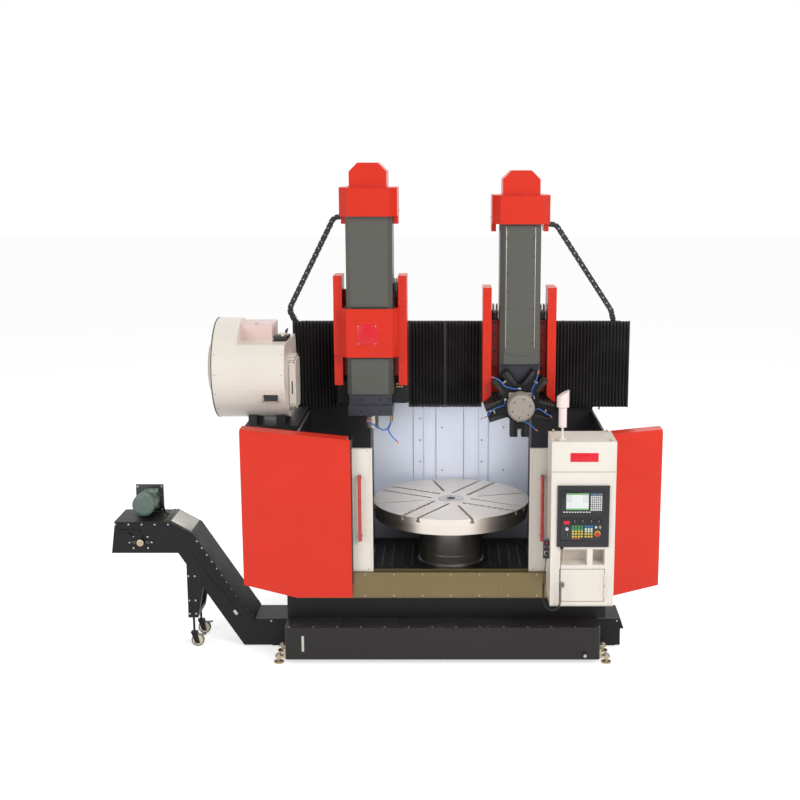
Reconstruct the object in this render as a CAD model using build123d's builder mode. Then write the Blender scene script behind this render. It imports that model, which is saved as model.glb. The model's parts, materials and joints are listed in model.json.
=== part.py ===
from build123d import *
import os
from math import cos, radians, sin, tan

# Gantry machining center with a rotary table and two rams on one crossbeam.
# Millimetres, +X to the operator's right, +Y to the back, +Z up.
# The origin is on the floor, straight under the middle of the table.

# Rotary table
table_d = 1400.0
table_top_z = 1165.0
table_t = 140.0
table_step_h = 67.0
table_step_in = 14.0
hub_r = 285.0
hub_gap = 12.0
shaft_r = 120.0
shaft_clearance = 0.08
shaft_len = 260.0
seat_gap = 0.3
slot_neck = 22.0
slot_head = 37.0
slot_head_t = 16.0
slot_depth = 38.0
slot_single_angle = 15.0
slot_pair_angle = 60.0
slot_pair_offset = 76.0
slot_single_inner_r = 250.0
slot_pair_inner_r = 160.0
jaw_pitch = 62.0
jaw_tooth_w = 14.0
jaw_tooth_out = 24.0
jaw_tooth_depth = 14.0

# Bed, columns and crossbeam
bed_side_gap = 40.0
bed_top_z = 560.0
pedestal_foot_r = 330.0
pedestal_foot_h = 40.0
column_w = 560.0
column_front_y = 350.0
column_back_y = 1050.0
beam_bottom_z = 1980.0
beam_top_z = 2650.0
beam_left_x = -1437.0
beam_right_x = 1622.0
beam_front_y = 345.0
beam_back_y = 1000.0
rail_w = 60.0
rail_t = 45.0
rail_inset = 90.0
column_flange_t = 45.0
column_flange_out = 60.0
column_window_w = 260.0
column_window_h = 900.0
column_window_z = 1050.0
column_window_depth = 260.0
back_pocket_w = 330.0
back_pocket_h = 430.0
back_pocket_depth = 120.0
back_pocket_count = 6

# Guards and doors
sheet_t = 12.0
guard_top_z = 1900.0
sill_front_y = -900.0
sill_depth = 110.0
sill_bottom_z = 545.0
sill_top_z = 770.0
track_w = 12.0
track_h = 14.0
door_y = -850.0
door_t = 46.0
door_w = 860.0
door_h = 1052.0
door_open_x = 650.0
door_guide_gap = 6.0
window_w = 420.0
window_h = 620.0
window_t = 10.0
window_edge = 265.0
handle_h = 560.0
handle_r = 14.0
handle_out = 52.0
handle_post_r = 9.0
handle_post_in = 34.0
handle_edge = 105.0
handle_z = 1330.0
wing_front_y = -950.0
wing_t = 28.0
wing_inner_x = 824.0
wing_flat_x = 1296.0
wing_outer_x = 1728.0
wing_bottom_z = 567.0
wing_corner_z = 677.0
wing_inner_top_z = 1909.0
wing_outer_top_z = 2001.0
pocket_back_gap = 30.0
pocket_floor_t = 60.0
wing_bevel = 22.0
apron_left_x = -1390.0
apron_right_x = 1312.0
pan_z = 600.0
pan_hole_gap = 6.0
chip_slot_w = 1700.0
back_guard_gap = 45.0
back_panel_fold = 26.0

# Coolant tank in front
tank_left_x = -1388.0
tank_right_x = 1246.0
tank_front_y = -1030.0
tank_back_y = -662.0
tank_bottom_z = 50.0
tank_top_z = 332.0
tank_wall = 20.0
foot_pad_r = 42.0
foot_pad_h = 14.0
foot_stem_r = 14.0
foot_reach = 62.0
foot_bracket_t = 16.0

# Chip conveyor
conveyor_front_y = -612.0
conveyor_back_y = -272.0
conveyor_wall = 14.0
trough_right_x = 1470.0
trough_left_x = -1600.0
trough_bottom_z = 12.0
trough_top_z = 252.0
lift_top_x = -2203.0
lift_top_z = 1025.0
lift_low_x = -1700.0
lift_depth = 215.0
head_left_x = -2912.0
head_bottom_z = 846.0
head_top_z = 1131.0
head_top_right_x = -2400.0
head_taper = 40.0
outlet_w = 190.0
motor_plate_w = 240.0
motor_plate_h = 245.0
conveyor_motor_r = 92.0
conveyor_motor_len = 250.0
leg_x = -2235.0
leg_top_w = 190.0
leg_foot_w = 84.0
leg_foot_z = 262.0
leg_t = 40.0
lift_flange_w = 26.0
lift_flange_t = 10.0
bearing_plate_w = 230.0
bearing_plate_h = 130.0
bearing_plate_t = 12.0
bearing_hub_r = 38.0
bearing_hub_t = 30.0
end_flap_h = 90.0
castor_r = 55.0
castor_w = 32.0
castor_trail = 30.0

# Tool magazine
magazine_r = 430.0
magazine_y = -205.0
magazine_z = 2398.0
magazine_left_x = -2000.0
magazine_right_x = -1392.0
magazine_window_w = 120.0
magazine_window_h = 62.0
magazine_window_drop = 205.0
magazine_window_depth = 20.0
magazine_cap_r = 255.0
magazine_cap_t = 66.0
magazine_notch_w = 400.0
magazine_notch_rise = 242.0
magazine_arm_w = 62.0
magazine_arm_h = 420.0
magazine_arm_d = 300.0
shelf_t = 90.0
shelf_left_x = -1770.0
shelf_front_y = -420.0
saddle_pad_w = 70.0

# Cross slides and rams
saddle_w = 640.0
saddle_plate_t = 95.0
saddle_bottom_z = 2000.0
cheek_t = 76.0
left_x = -705.0
left_cheek_bottom_z = 2211.0
left_cheek_top_z = 3175.0
left_cheek_front_y = -60.0
left_clamp_bottom_z = 2478.0
left_clamp_top_z = 2901.0
right_x = 598.0
right_cheek_bottom_z = 2060.0
right_cheek_top_z = 3073.0
right_cheek_front_y = -88.0
cheek_slant = 60.0
slide_foot_out = 14.0
ram_gap = 0.3
left_ram_w = 400.0
left_ram_front_y = -170.0
left_ram_back_y = 190.0
left_ram_bottom_z = 2147.0
left_ram_top_z = 3690.0
right_ram_w = 352.0
right_ram_front_y = -160.0
right_ram_back_y = 180.0
right_ram_bottom_z = 2414.0
right_ram_top_z = 3625.0
ram_chamfer = 40.0
ram_groove_w = 46.0
ram_groove_depth = 16.0
ram_panel_w = 256.0
ram_panel_t = 8.0
clamp_wall = 34.0
clamp_bevel = 46.0
cover_w = 495.0
cover_h = 258.0
cover_overlap = 15.0
cover_front_gap = 70.0
cover_back_y = 236.0
cover_chamfer = 70.0
cover_wall = 40.0
cover_skirt_h = 72.0
cap_w = 318.0
cap_h = 206.0
cap_chamfer = 74.0
cap_front_y = -195.0
cap_back_y = 190.0

# Spindle head under the left ram
spindle_neck_w = 372.0
spindle_neck_h = 97.0
spindle_block_w = 388.0
spindle_block_h = 92.0
nose_r = 62.0
nose_len = 134.0
nose_shank_r = 48.0
nose_shank_len = 80.0
nose_bore_r = 22.0
nose_bore_len = 70.0

# Turret under the right ram
turret_z = 2084.0
turret_base_w = 352.0
turret_base_bottom = 150.0
turret_disc_r = 165.0
turret_disc_t = 130.0
turret_disc_gap = 8.0
turret_back_y = -112.0
turret_pin_r = 60.0
arm_count = 5
arm_len = 300.0
arm_w = 168.0
arm_slot_w = 34.0
arm_slot_depth = 70.0
arm_step_w = 15.0
arm_step_depth = 11.0
arm_step_pitch = 30.0
arm_step_count = 4
hose_r = 6.5
hose_seat_r = 150.0
hose_side = 58.0
hose_out = 44.0
hose_reach = 342.0
turret_motor_r = 113.0
turret_motor_len = 215.0
turret_flange_w = 190.0
turret_flange_t = 24.0

# Way covers
bellows_front_y = 250.0
bellows_back_y = 335.0
bellows_bottom_z = 1952.0
bellows_top_z = 2738.0
bellows_pitch = 26.0
bellows_fold = 22.0
bellows_gap = 0.3

# Cable chains
chain_w = 62.0
chain_h = 46.0
chain_y = 395.0
chain_bend_r = 60.0
chain_pitch = 68.0
chain_link_len = 50.0
chain_step = 7.0
chain_knee_h = 175.0
chain_run = 95.0
chain_drop = 30.0
chain_foot_in = 34.0
chain_left_bulge = 34.0
chain_right_foot_in = 140.0
chain_bracket_t = 14.0

# Control cabinet
cabinet_left_x = 792.0
cabinet_right_x = 1302.0
cabinet_front_y = -1350.0
cabinet_bottom_z = 640.0
cabinet_top_z = 1992.0
console_w = 410.0
console_h = 500.0
console_bottom_z = 1140.0
console_t = 26.0
console_recess = 8.0
niche_h = 130.0
niche_bottom_z = 985.0
niche_depth = 160.0
niche_left_w = 215.0
niche_right_w = 95.0
niche_gap = 45.0
cabinet_door_w = 355.0
cabinet_door_h = 265.0
cabinet_door_z = 815.0
cabinet_door_t = 18.0
cabinet_door_gap = 5.0
hinge_r = 9.0
hinge_len = 46.0
hinge_leaf_t = 4.0
hinge_leaf_w = 32.0
lamp_x = 881.0
lamp_back = 104.0
lamp_r = 32.0
lamp_body_h = 230.0
lamp_pole_r = 9.0
lamp_pole_h = 98.0
lamp_neck = 12.0
lamp_hood_r = 49.0
lamp_hood_h = 136.0
lamp_hood_slant = 60.0
pendant_w = 74.0
pendant_h = 150.0
pendant_t = 46.0
pendant_z = 1080.0
pendant_back = 138.0
cord_d = 5.0
curl_d = 21.0
gland_x = 881.0
gland_z = 1127.0
gland_r = 12.0
gland_len = 12.0

os.makedirs("parts", exist_ok=True)


def save(part, name):
    part.label = name
    export_step(part, "parts/" + name + ".step")


def block(x, y, z, mode=Mode.ADD):
    """Adds a rectangular block between the two ends given on each axis."""
    middle = tuple((low + high) / 2 for low, high in (x, y, z))
    with Locations(middle):
        Box(*(abs(high - low) for low, high in (x, y, z)), mode=mode)


def front_plane(y):
    """A plane facing the operator: its x is +X, its y is +Z, and extrusion goes to -Y."""
    return Plane(origin=(0, y, 0), x_dir=(1, 0, 0), z_dir=(0, -1, 0))


def disc(plane, x, y, radius, length, mode=Mode.ADD):
    """Extrudes a circle at (x, y) on a plane."""
    with BuildSketch(plane) as circle:
        with Locations((x, y)):
            Circle(radius)
    extrude(circle.sketch, amount=length, mode=mode)


def prism(plane, x, y, radius, sides, length, mode=Mode.ADD):
    """Extrudes a regular polygon at (x, y) on a plane."""
    with BuildSketch(plane) as outline:
        with Locations((x, y)):
            RegularPolygon(radius, sides)
    extrude(outline.sketch, amount=length, mode=mode)


def front_plate(points, y_front, y_back, mode=Mode.ADD):
    """Extrudes an outline of (x, z) points from y_back forward to y_front."""
    with BuildSketch(front_plane(y_back)) as outline:
        with BuildLine():
            Polyline(*points, close=True)
        make_face()
    extrude(outline.sketch, amount=y_back - y_front, mode=mode)


def plan_plate(points, z_low, z_high, mode=Mode.ADD):
    """Extrudes an outline of (x, y) points upward from z_low to z_high."""
    with BuildSketch(Plane.XY.offset(z_low)) as outline:
        with BuildLine():
            Polyline(*points, close=True)
        make_face()
    extrude(outline.sketch, amount=z_high - z_low, mode=mode)


# Rotary table: a stepped disc on a central shaft, with T-slots and jaw slots
table_r = table_d / 2
bed_w = table_d + 2 * bed_side_gap
back_guard_y = table_r + back_guard_gap
table_bottom_z = table_top_z - table_t
pedestal_top_z = table_bottom_z - hub_gap
shaft_bottom_z = table_bottom_z - shaft_len


def cut_t_slot(angle, offset, inner_r, jaws):
    """Cuts one slot along a radius turned by angle and shifted sideways by offset."""
    reach = table_r + slot_head
    slot_mid = (inner_r + reach) / 2
    slot_len = reach - inner_r
    with Locations(Plane.XY.offset(table_top_z).rotated((0, 0, angle))):
        with Locations((slot_mid, offset, -slot_depth / 2)):
            Box(slot_len, slot_neck, slot_depth, mode=Mode.SUBTRACT)
        if not jaws:
            with Locations((slot_mid, offset, slot_head_t / 2 - slot_depth)):
                Box(slot_len, slot_head, slot_head_t, mode=Mode.SUBTRACT)
        else:
            tooth_count = int((table_r - inner_r) / jaw_pitch)
            tooth_y = offset - (slot_neck + jaw_tooth_out) / 2
            for index in range(tooth_count):
                tooth_x = inner_r + jaw_pitch * (index + 0.5)
                with Locations((tooth_x, tooth_y, -jaw_tooth_depth / 2)):
                    Box(jaw_tooth_w, jaw_tooth_out, jaw_tooth_depth, mode=Mode.SUBTRACT)


with BuildPart() as table:
    with BuildSketch(Plane.XZ):
        with BuildLine():
            Polyline(
                (0, table_top_z),
                (table_r, table_top_z),
                (table_r, table_top_z - table_step_h),
                (table_r - table_step_in, table_top_z - table_step_h),
                (table_r - table_step_in, table_bottom_z),
                (shaft_r, table_bottom_z),
                (shaft_r, shaft_bottom_z),
                (0, shaft_bottom_z),
                close=True,
            )
        make_face()
    revolve(axis=Axis.Z)
    for quarter in range(4):
        turn = 90 * quarter
        cut_t_slot(slot_single_angle + turn, 0, slot_single_inner_r, False)
        cut_t_slot(slot_pair_angle + turn, slot_pair_offset, slot_pair_inner_r, False)
        cut_t_slot(slot_pair_angle + turn, -slot_pair_offset, slot_pair_inner_r, True)
save(table.part, "table")

# Bed casting, and the polished pedestal that carries the table
with BuildPart() as bed:
    block((-bed_w / 2, bed_w / 2), (conveyor_back_y, column_back_y), (0, bed_top_z))
save(bed.part, "bed")

with BuildPart() as pedestal:
    prism(Plane.XY.offset(bed_top_z), 0, 0, pedestal_foot_r, 72, pedestal_foot_h)
    with BuildSketch(Plane.XY.offset(bed_top_z)):
        Circle(hub_r)
    extrude(amount=pedestal_top_z - bed_top_z)
    with BuildSketch(Plane.XY.offset(shaft_bottom_z - seat_gap)):
        Circle(shaft_r + shaft_clearance)
    extrude(amount=pedestal_top_z - shaft_bottom_z + seat_gap, mode=Mode.SUBTRACT)
save(pedestal.part, "pedestal")


# Columns: closed castings with a foot flange and a core opening in the outer side
def make_column(side, name):
    inner_x = side * bed_w / 2
    outer_x = inner_x + side * column_w
    with BuildPart() as column:
        block((inner_x, outer_x), (column_front_y, column_back_y), (0, beam_bottom_z))
        block(
            (inner_x, outer_x + side * column_flange_out),
            (column_front_y - column_flange_out, column_back_y),
            (0, column_flange_t),
        )
        block(
            (outer_x - side * column_window_depth, outer_x + side),
            (
                (column_front_y + column_back_y - column_window_w) / 2,
                (column_front_y + column_back_y + column_window_w) / 2,
            ),
            (column_window_z - column_window_h / 2, column_window_z + column_window_h / 2),
            mode=Mode.SUBTRACT,
        )
        block(
            ((inner_x + outer_x - back_pocket_w) / 2, (inner_x + outer_x + back_pocket_w) / 2),
            (column_back_y - back_pocket_depth, column_back_y + 1),
            (column_window_z - column_window_h / 2, column_window_z + column_window_h / 2),
            mode=Mode.SUBTRACT,
        )
        outer_edges = column.edges().filter_by(Axis.Z).sort_by(Axis.X)
        outer_edges = outer_edges.filter_by_position(Axis.X, outer_x, outer_x)
        chamfer(outer_edges.sort_by(Axis.Y)[-1:], column_flange_out)
    save(column.part, name)


make_column(-1, "left_column")
make_column(1, "right_column")

# Crossbeam with its upper and lower guide rails, and a ribbed back
beam_mid_x = (beam_left_x + beam_right_x) / 2
beam_mid_z = (beam_bottom_z + beam_top_z) / 2
pocket_pitch = (beam_right_x - beam_left_x) / back_pocket_count
with BuildPart() as crossbeam:
    block((beam_left_x, beam_right_x), (beam_front_y, beam_back_y), (beam_bottom_z, beam_top_z))
    beam_back = Plane(
        origin=(beam_mid_x, beam_back_y, beam_mid_z), x_dir=(1, 0, 0), z_dir=(0, 1, 0)
    )
    with BuildSketch(beam_back):
        with GridLocations(pocket_pitch, back_pocket_h, back_pocket_count, 1):
            Rectangle(back_pocket_w, back_pocket_h)
    extrude(amount=-back_pocket_depth, mode=Mode.SUBTRACT)
    for rail_z in (beam_bottom_z + rail_inset, beam_top_z - rail_inset):
        block(
            (beam_left_x + sheet_t, beam_right_x - sheet_t),
            (beam_front_y - rail_t, beam_front_y),
            (rail_z - rail_w / 2, rail_z + rail_w / 2),
        )
save(crossbeam.part, "crossbeam")

# Sheet guards beside and behind the table
guard_x = bed_w / 2 + column_w
guard_front_y = sill_front_y + sill_depth


wing_back_y = wing_front_y + wing_t
wing_lip_x = wing_outer_x - wing_t
pocket_back_y = door_y + door_t / 2 + pocket_back_gap


def make_side_guard(side, name):
    """A side wall, and the plate and track of the pocket that an open door slides into."""
    inner_x = side * (guard_x - sheet_t)
    outer_x = side * guard_x
    with BuildPart() as guard:
        block((inner_x, outer_x), (guard_front_y, column_front_y), (sill_bottom_z, guard_top_z))
        block(
            (outer_x, side * wing_lip_x),
            (pocket_back_y, pocket_back_y + sheet_t),
            (sill_top_z - pocket_floor_t, wing_inner_top_z - wing_t),
        )
        block(
            (outer_x, side * wing_lip_x),
            (wing_back_y, pocket_back_y),
            (sill_top_z - pocket_floor_t, sill_top_z),
        )
        block(
            (outer_x, side * wing_lip_x),
            (door_y - track_w / 2, door_y + track_w / 2),
            (sill_top_z, sill_top_z + track_h),
        )
    save(guard.part, name)


make_side_guard(-1, "left_guard")
make_side_guard(1, "right_guard")

with BuildPart() as back_guard:
    block(
        (-bed_w / 2, bed_w / 2),
        (back_guard_y, back_guard_y + sheet_t),
        (bed_top_z, beam_bottom_z),
    )
    for fold_x in (-bed_w / 6, bed_w / 6):
        block(
            (fold_x - back_panel_fold / 2, fold_x + back_panel_fold / 2),
            (back_guard_y - sheet_t, back_guard_y),
            (bed_top_z, beam_bottom_z),
        )
save(back_guard.part, "back_guard")

# Chip pan round the pedestal, with the slot over the conveyor and the black front apron
with BuildPart() as chip_pan:
    block(
        (sheet_t - guard_x, guard_x - sheet_t),
        (guard_front_y, column_front_y),
        (pan_z, pan_z + sheet_t),
    )
    prism(Plane.XY.offset(pan_z), 0, 0, hub_r + pan_hole_gap, 48, sheet_t, mode=Mode.SUBTRACT)
    block(
        (-chip_slot_w / 2, chip_slot_w / 2),
        (conveyor_front_y + conveyor_wall, -hub_r - 4 * pan_hole_gap),
        (pan_z, pan_z + sheet_t),
        mode=Mode.SUBTRACT,
    )
    block(
        (apron_left_x, apron_right_x),
        (guard_front_y - sheet_t, guard_front_y),
        (tank_top_z, sill_bottom_z),
    )
    block(
        (sheet_t - guard_x, guard_x - sheet_t),
        (guard_front_y, guard_front_y + sheet_t),
        (tank_top_z, pan_z),
    )
save(chip_pan.part, "chip_pan")

# Stainless sill with the raised door track
with BuildPart() as sill:
    block((-guard_x, guard_x), (sill_front_y, guard_front_y), (sill_bottom_z, sill_top_z))
    block(
        (-guard_x, guard_x),
        (door_y - track_w / 2, door_y + track_w / 2),
        (sill_top_z, sill_top_z + track_h),
    )
save(sill.part, "sill")


# Red front wings: a folded plate with a bevelled top and a lip round its outer edge
def make_wing(side, name):
    top_slope = (wing_outer_top_z - wing_inner_top_z) / (wing_outer_x - wing_inner_x)
    outline = [
        (side * wing_inner_x, wing_bottom_z),
        (side * wing_inner_x, wing_inner_top_z),
        (side * wing_outer_x, wing_outer_top_z),
        (side * wing_outer_x, wing_corner_z),
        (side * wing_flat_x, wing_bottom_z),
    ]
    lip_start_x = side * (wing_inner_x + wing_t)
    lip_start_z = wing_inner_top_z + top_slope * wing_t
    lip = [
        (lip_start_x, lip_start_z),
        (side * wing_outer_x, wing_outer_top_z),
        (side * wing_outer_x, wing_corner_z),
        (side * wing_lip_x, wing_corner_z),
        (side * wing_lip_x, wing_outer_top_z - wing_t - wing_t * top_slope),
        (lip_start_x, lip_start_z - wing_t),
    ]
    with BuildPart() as wing:
        front_plate(outline, wing_front_y, wing_back_y)
        front_plate(lip, wing_back_y, pocket_back_y + sheet_t)
        top_edges = wing.edges().filter_by_position(Axis.Y, wing_front_y, wing_front_y)
        chamfer(top_edges.sort_by(Axis.Z)[-1:], wing_bevel)
    save(wing.part, name)


make_wing(-1, "left_wing")
make_wing(1, "right_wing")

# Coolant tank and its levelling feet
with BuildPart() as coolant_tank:
    block((tank_left_x, tank_right_x), (tank_front_y, tank_back_y), (tank_bottom_z, tank_top_z))
    front_edges = coolant_tank.edges().filter_by(Axis.Z).group_by(Axis.Y)[0]
    fillet(front_edges, tank_wall)
save(coolant_tank.part, "coolant_tank")


def add_foot(side, end_x, y):
    """A bracket on the tank's end wall with a screw and a round pad under it."""
    pad_x = end_x + side * foot_reach
    block(
        (end_x, end_x + side * foot_bracket_t),
        (y - foot_pad_r, y + foot_pad_r),
        (tank_bottom_z, tank_bottom_z + 2 * foot_pad_r),
    )
    block(
        (end_x, pad_x + side * 2 * foot_stem_r),
        (y - 2 * foot_stem_r, y + 2 * foot_stem_r),
        (tank_bottom_z, tank_bottom_z + foot_bracket_t),
    )
    stem_h = tank_bottom_z + 2 * foot_bracket_t - foot_pad_h
    prism(Plane.XY, pad_x, y, foot_pad_r, 16, foot_pad_h)
    prism(Plane.XY.offset(foot_pad_h), pad_x, y, foot_stem_r, 6, stem_h)


with BuildPart() as levelling_feet:
    for foot_y in (tank_front_y + foot_reach, tank_back_y - foot_reach):
        add_foot(-1, tank_left_x, foot_y)
        add_foot(1, tank_right_x, foot_y)
save(levelling_feet.part, "levelling_feet")

# Chip conveyor: an open trough under the table's front, then a closed lift with a drive head
with BuildPart() as conveyor_trough:
    block(
        (trough_left_x, trough_right_x),
        (conveyor_front_y, conveyor_back_y),
        (trough_bottom_z, trough_top_z),
    )
    block(
        (-chip_slot_w / 2, chip_slot_w / 2),
        (conveyor_front_y + conveyor_wall, conveyor_back_y - conveyor_wall),
        (trough_bottom_z + conveyor_wall, trough_top_z),
        mode=Mode.SUBTRACT,
    )
    for pad_x in (trough_left_x + 2 * foot_pad_r, 0, trough_right_x - 2 * foot_pad_r):
        block(
            (pad_x - foot_pad_r, pad_x + foot_pad_r),
            (conveyor_front_y + conveyor_wall, conveyor_back_y - conveyor_wall),
            (0, trough_bottom_z),
        )
    front_plate(
        [
            (trough_right_x, trough_top_z),
            (trough_right_x, trough_top_z - end_flap_h),
            (trough_right_x + end_flap_h / 3, trough_top_z - end_flap_h),
        ],
        conveyor_front_y,
        conveyor_back_y,
    )
save(conveyor_trough.part, "conveyor_trough")

lift_run = lift_low_x - lift_top_x
lift_rise = lift_top_z - trough_top_z
lift_slope = lift_rise / lift_run
lift_side_x = lift_depth * (1 + lift_slope**2) ** 0.5 / lift_slope
bearing_x = head_left_x + head_taper + bearing_plate_w / 2
bearing_z = (head_bottom_z + head_top_z) / 2
with BuildPart() as conveyor_lift:
    front_plate(
        [
            (trough_left_x, trough_bottom_z),
            (trough_left_x, trough_top_z),
            (lift_low_x, trough_top_z),
            (lift_top_x, lift_top_z),
            (head_top_right_x, head_top_z),
            (head_left_x + head_taper, head_top_z),
            (head_left_x, head_bottom_z),
            (lift_top_x - lift_side_x + (lift_top_z - head_bottom_z) / lift_slope, head_bottom_z),
            (lift_low_x - lift_side_x + (trough_top_z - trough_bottom_z) / lift_slope, trough_bottom_z),
        ],
        conveyor_front_y,
        conveyor_back_y,
    )
    block(
        (head_left_x + 2 * conveyor_wall, head_left_x + 2 * conveyor_wall + outlet_w),
        (conveyor_front_y + conveyor_wall, conveyor_back_y - conveyor_wall),
        (head_bottom_z, head_bottom_z + outlet_w),
        mode=Mode.SUBTRACT,
    )
    for side_y, facing in ((conveyor_front_y, -1), (conveyor_back_y, 1)):
        low_y, high_y = sorted((side_y, side_y + facing * lift_flange_w))
        front_plate(
            [
                (lift_low_x, trough_top_z),
                (lift_top_x, lift_top_z),
                (head_top_right_x, head_top_z),
                (head_left_x + head_taper, head_top_z),
                (head_left_x + head_taper, head_top_z - lift_flange_t),
                (head_top_right_x, head_top_z - lift_flange_t),
                (lift_top_x, lift_top_z - lift_flange_t),
                (lift_low_x, trough_top_z - lift_flange_t),
            ],
            low_y,
            high_y,
        )
        bearing = Plane(
            origin=(bearing_x, side_y, bearing_z), x_dir=(1, 0, 0), z_dir=(0, facing, 0)
        )
        with BuildSketch(bearing) as plate:
            Rectangle(bearing_plate_w, bearing_plate_h)
            chamfer(plate.vertices(), bearing_plate_h / 4)
        extrude(plate.sketch, amount=bearing_plate_t)
        prism(bearing, 0, 0, bearing_hub_r, 12, bearing_hub_t)
save(conveyor_lift.part, "conveyor_lift")

motor_plate_x = (head_left_x + head_top_right_x) / 2 + head_taper / 2
motor_plate_y = conveyor_back_y - 2 * conveyor_wall
conveyor_motor_z = head_top_z + motor_plate_h / 2
with BuildPart() as conveyor_motor:
    block(
        (motor_plate_x - motor_plate_w / 2, motor_plate_x + motor_plate_w / 2),
        (motor_plate_y - conveyor_wall, motor_plate_y),
        (head_top_z, head_top_z + motor_plate_h),
    )
    motor_back = front_plane(motor_plate_y - conveyor_wall)
    prism(motor_back, motor_plate_x, conveyor_motor_z, conveyor_motor_r, 32, conveyor_motor_len)
save(conveyor_motor.part, "conveyor_motor")

leg_top_z = trough_top_z + (lift_low_x - lift_side_x - leg_x) * lift_slope


def add_castor(y):
    """A fork and a wheel under the leg, trailing to the right."""
    wheel_x = leg_x + castor_trail
    prism(front_plane(y + castor_w / 2), wheel_x, castor_r, castor_r, 24, castor_w)
    for fork_y in (y - castor_w / 2 - leg_t / 4, y + castor_w / 2):
        front_plate(
            [
                (wheel_x - castor_r / 3, castor_r / 2),
                (wheel_x + castor_r / 3, castor_r / 2),
                (leg_x + castor_r / 2, 2 * castor_r + leg_t / 2),
                (leg_x - castor_r / 2, 2 * castor_r + leg_t / 2),
            ],
            fork_y,
            fork_y + leg_t / 4,
        )
    block(
        (leg_x - castor_r / 2, leg_x + castor_r / 2),
        (y - castor_w / 2 - leg_t / 4, y + castor_w / 2 + leg_t / 4),
        (2 * castor_r + leg_t / 4, 2 * castor_r + leg_t / 2),
    )
    stem_z = 2 * castor_r + leg_t / 2
    prism(Plane.XY.offset(stem_z), leg_x, y, leg_t / 4, 8, leg_foot_z - stem_z)


with BuildPart() as conveyor_leg:
    for leg_y in (conveyor_front_y, conveyor_back_y - leg_t):
        front_plate(
            [
                (leg_x - leg_foot_w / 2, leg_foot_z),
                (leg_x + leg_foot_w / 2, leg_foot_z),
                (leg_x + leg_top_w / 2, leg_top_z - leg_top_w / 2 * lift_slope),
                (leg_x - leg_foot_w / 2, leg_top_z + leg_foot_w / 2 * lift_slope),
            ],
            leg_y,
            leg_y + leg_t,
        )
    block(
        (leg_x - leg_foot_w / 2, leg_x + leg_foot_w / 2),
        (conveyor_front_y, conveyor_back_y),
        (leg_foot_z, leg_foot_z + leg_t),
    )
    add_castor(conveyor_front_y + leg_t / 2)
    add_castor(conveyor_back_y - leg_t / 2)
save(conveyor_leg.part, "conveyor_leg")

# Tool magazine: a drum on its side, its end cap, the arm cover and the shelf under it
magazine_bottom_z = magazine_z - magazine_r
magazine_notch_z = magazine_z + magazine_notch_rise
magazine_window_y = (magazine_r**2 - magazine_window_drop**2) ** 0.5
magazine_end = Plane.YZ.offset(magazine_left_x)
with BuildPart() as magazine_drum:
    prism(magazine_end, magazine_y, magazine_z, magazine_r, 64, magazine_right_x - magazine_left_x)
    block(
        (magazine_right_x - magazine_notch_w, magazine_right_x + 1),
        (magazine_y - magazine_r, magazine_y + magazine_r),
        (magazine_notch_z, magazine_z + magazine_r + 1),
        mode=Mode.SUBTRACT,
    )
    block(
        (magazine_right_x - magazine_notch_w, magazine_right_x - magazine_notch_w / 3),
        (magazine_y - magazine_r / 3, magazine_y + magazine_r / 2),
        (magazine_notch_z, magazine_notch_z + magazine_r / 3),
    )
    block(
        (
            magazine_right_x - magazine_window_w - magazine_arm_w,
            magazine_right_x - magazine_arm_w,
        ),
        (magazine_y - magazine_r, magazine_y - magazine_window_y + magazine_window_depth),
        (
            magazine_z - magazine_window_drop - magazine_window_h / 2,
            magazine_z - magazine_window_drop + magazine_window_h / 2,
        ),
        mode=Mode.SUBTRACT,
    )
save(magazine_drum.part, "magazine_drum")

with BuildPart() as magazine_cap:
    cap_face = Plane.YZ.offset(magazine_left_x - magazine_cap_t)
    prism(cap_face, magazine_y, magazine_z, magazine_cap_r, 64, magazine_cap_t)
    chamfer(magazine_cap.faces().sort_by(Axis.X)[0].edges(), magazine_cap_t / 2)
save(magazine_cap.part, "magazine_cap")

with BuildPart() as magazine_arm_cover:
    block(
        (magazine_right_x, magazine_right_x + magazine_arm_w),
        (magazine_y - magazine_arm_d / 2, magazine_y + magazine_arm_d / 2),
        (magazine_z - magazine_r * 0.8, magazine_z - magazine_r * 0.8 + magazine_arm_h),
    )
    chamfer(magazine_arm_cover.edges().filter_by(Axis.X), magazine_arm_w / 2)
save(magazine_arm_cover.part, "magazine_arm_cover")

shelf_top_z = magazine_bottom_z - shelf_t / 2
with BuildPart() as magazine_shelf:
    plan_plate(
        [
            (-guard_x - sheet_t, shelf_front_y),
            (shelf_left_x, shelf_front_y),
            (shelf_left_x, column_front_y + shelf_t),
            (-guard_x, column_front_y + 4 * shelf_t),
            (-guard_x, column_front_y + sheet_t),
            (-guard_x - sheet_t, column_front_y + sheet_t),
        ],
        shelf_top_z - shelf_t,
        shelf_top_z,
    )
    for pad_x in (magazine_right_x - saddle_pad_w, shelf_left_x + saddle_pad_w):
        block(
            (pad_x - saddle_pad_w / 2, pad_x + saddle_pad_w / 2),
            (magazine_y - magazine_r / 2, magazine_y + magazine_r / 2),
            (shelf_top_z, shelf_top_z + shelf_t),
        )
    prism(
        magazine_end,
        magazine_y,
        magazine_z,
        magazine_r,
        64,
        magazine_right_x - magazine_left_x,
        mode=Mode.SUBTRACT,
    )
save(magazine_shelf.part, "magazine_shelf")

# Cross slides: a plate on the rails, two cheeks and the webs that hold the ram
saddle_back_y = beam_front_y - rail_t - seat_gap
saddle_front_y = saddle_back_y - saddle_plate_t


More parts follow.
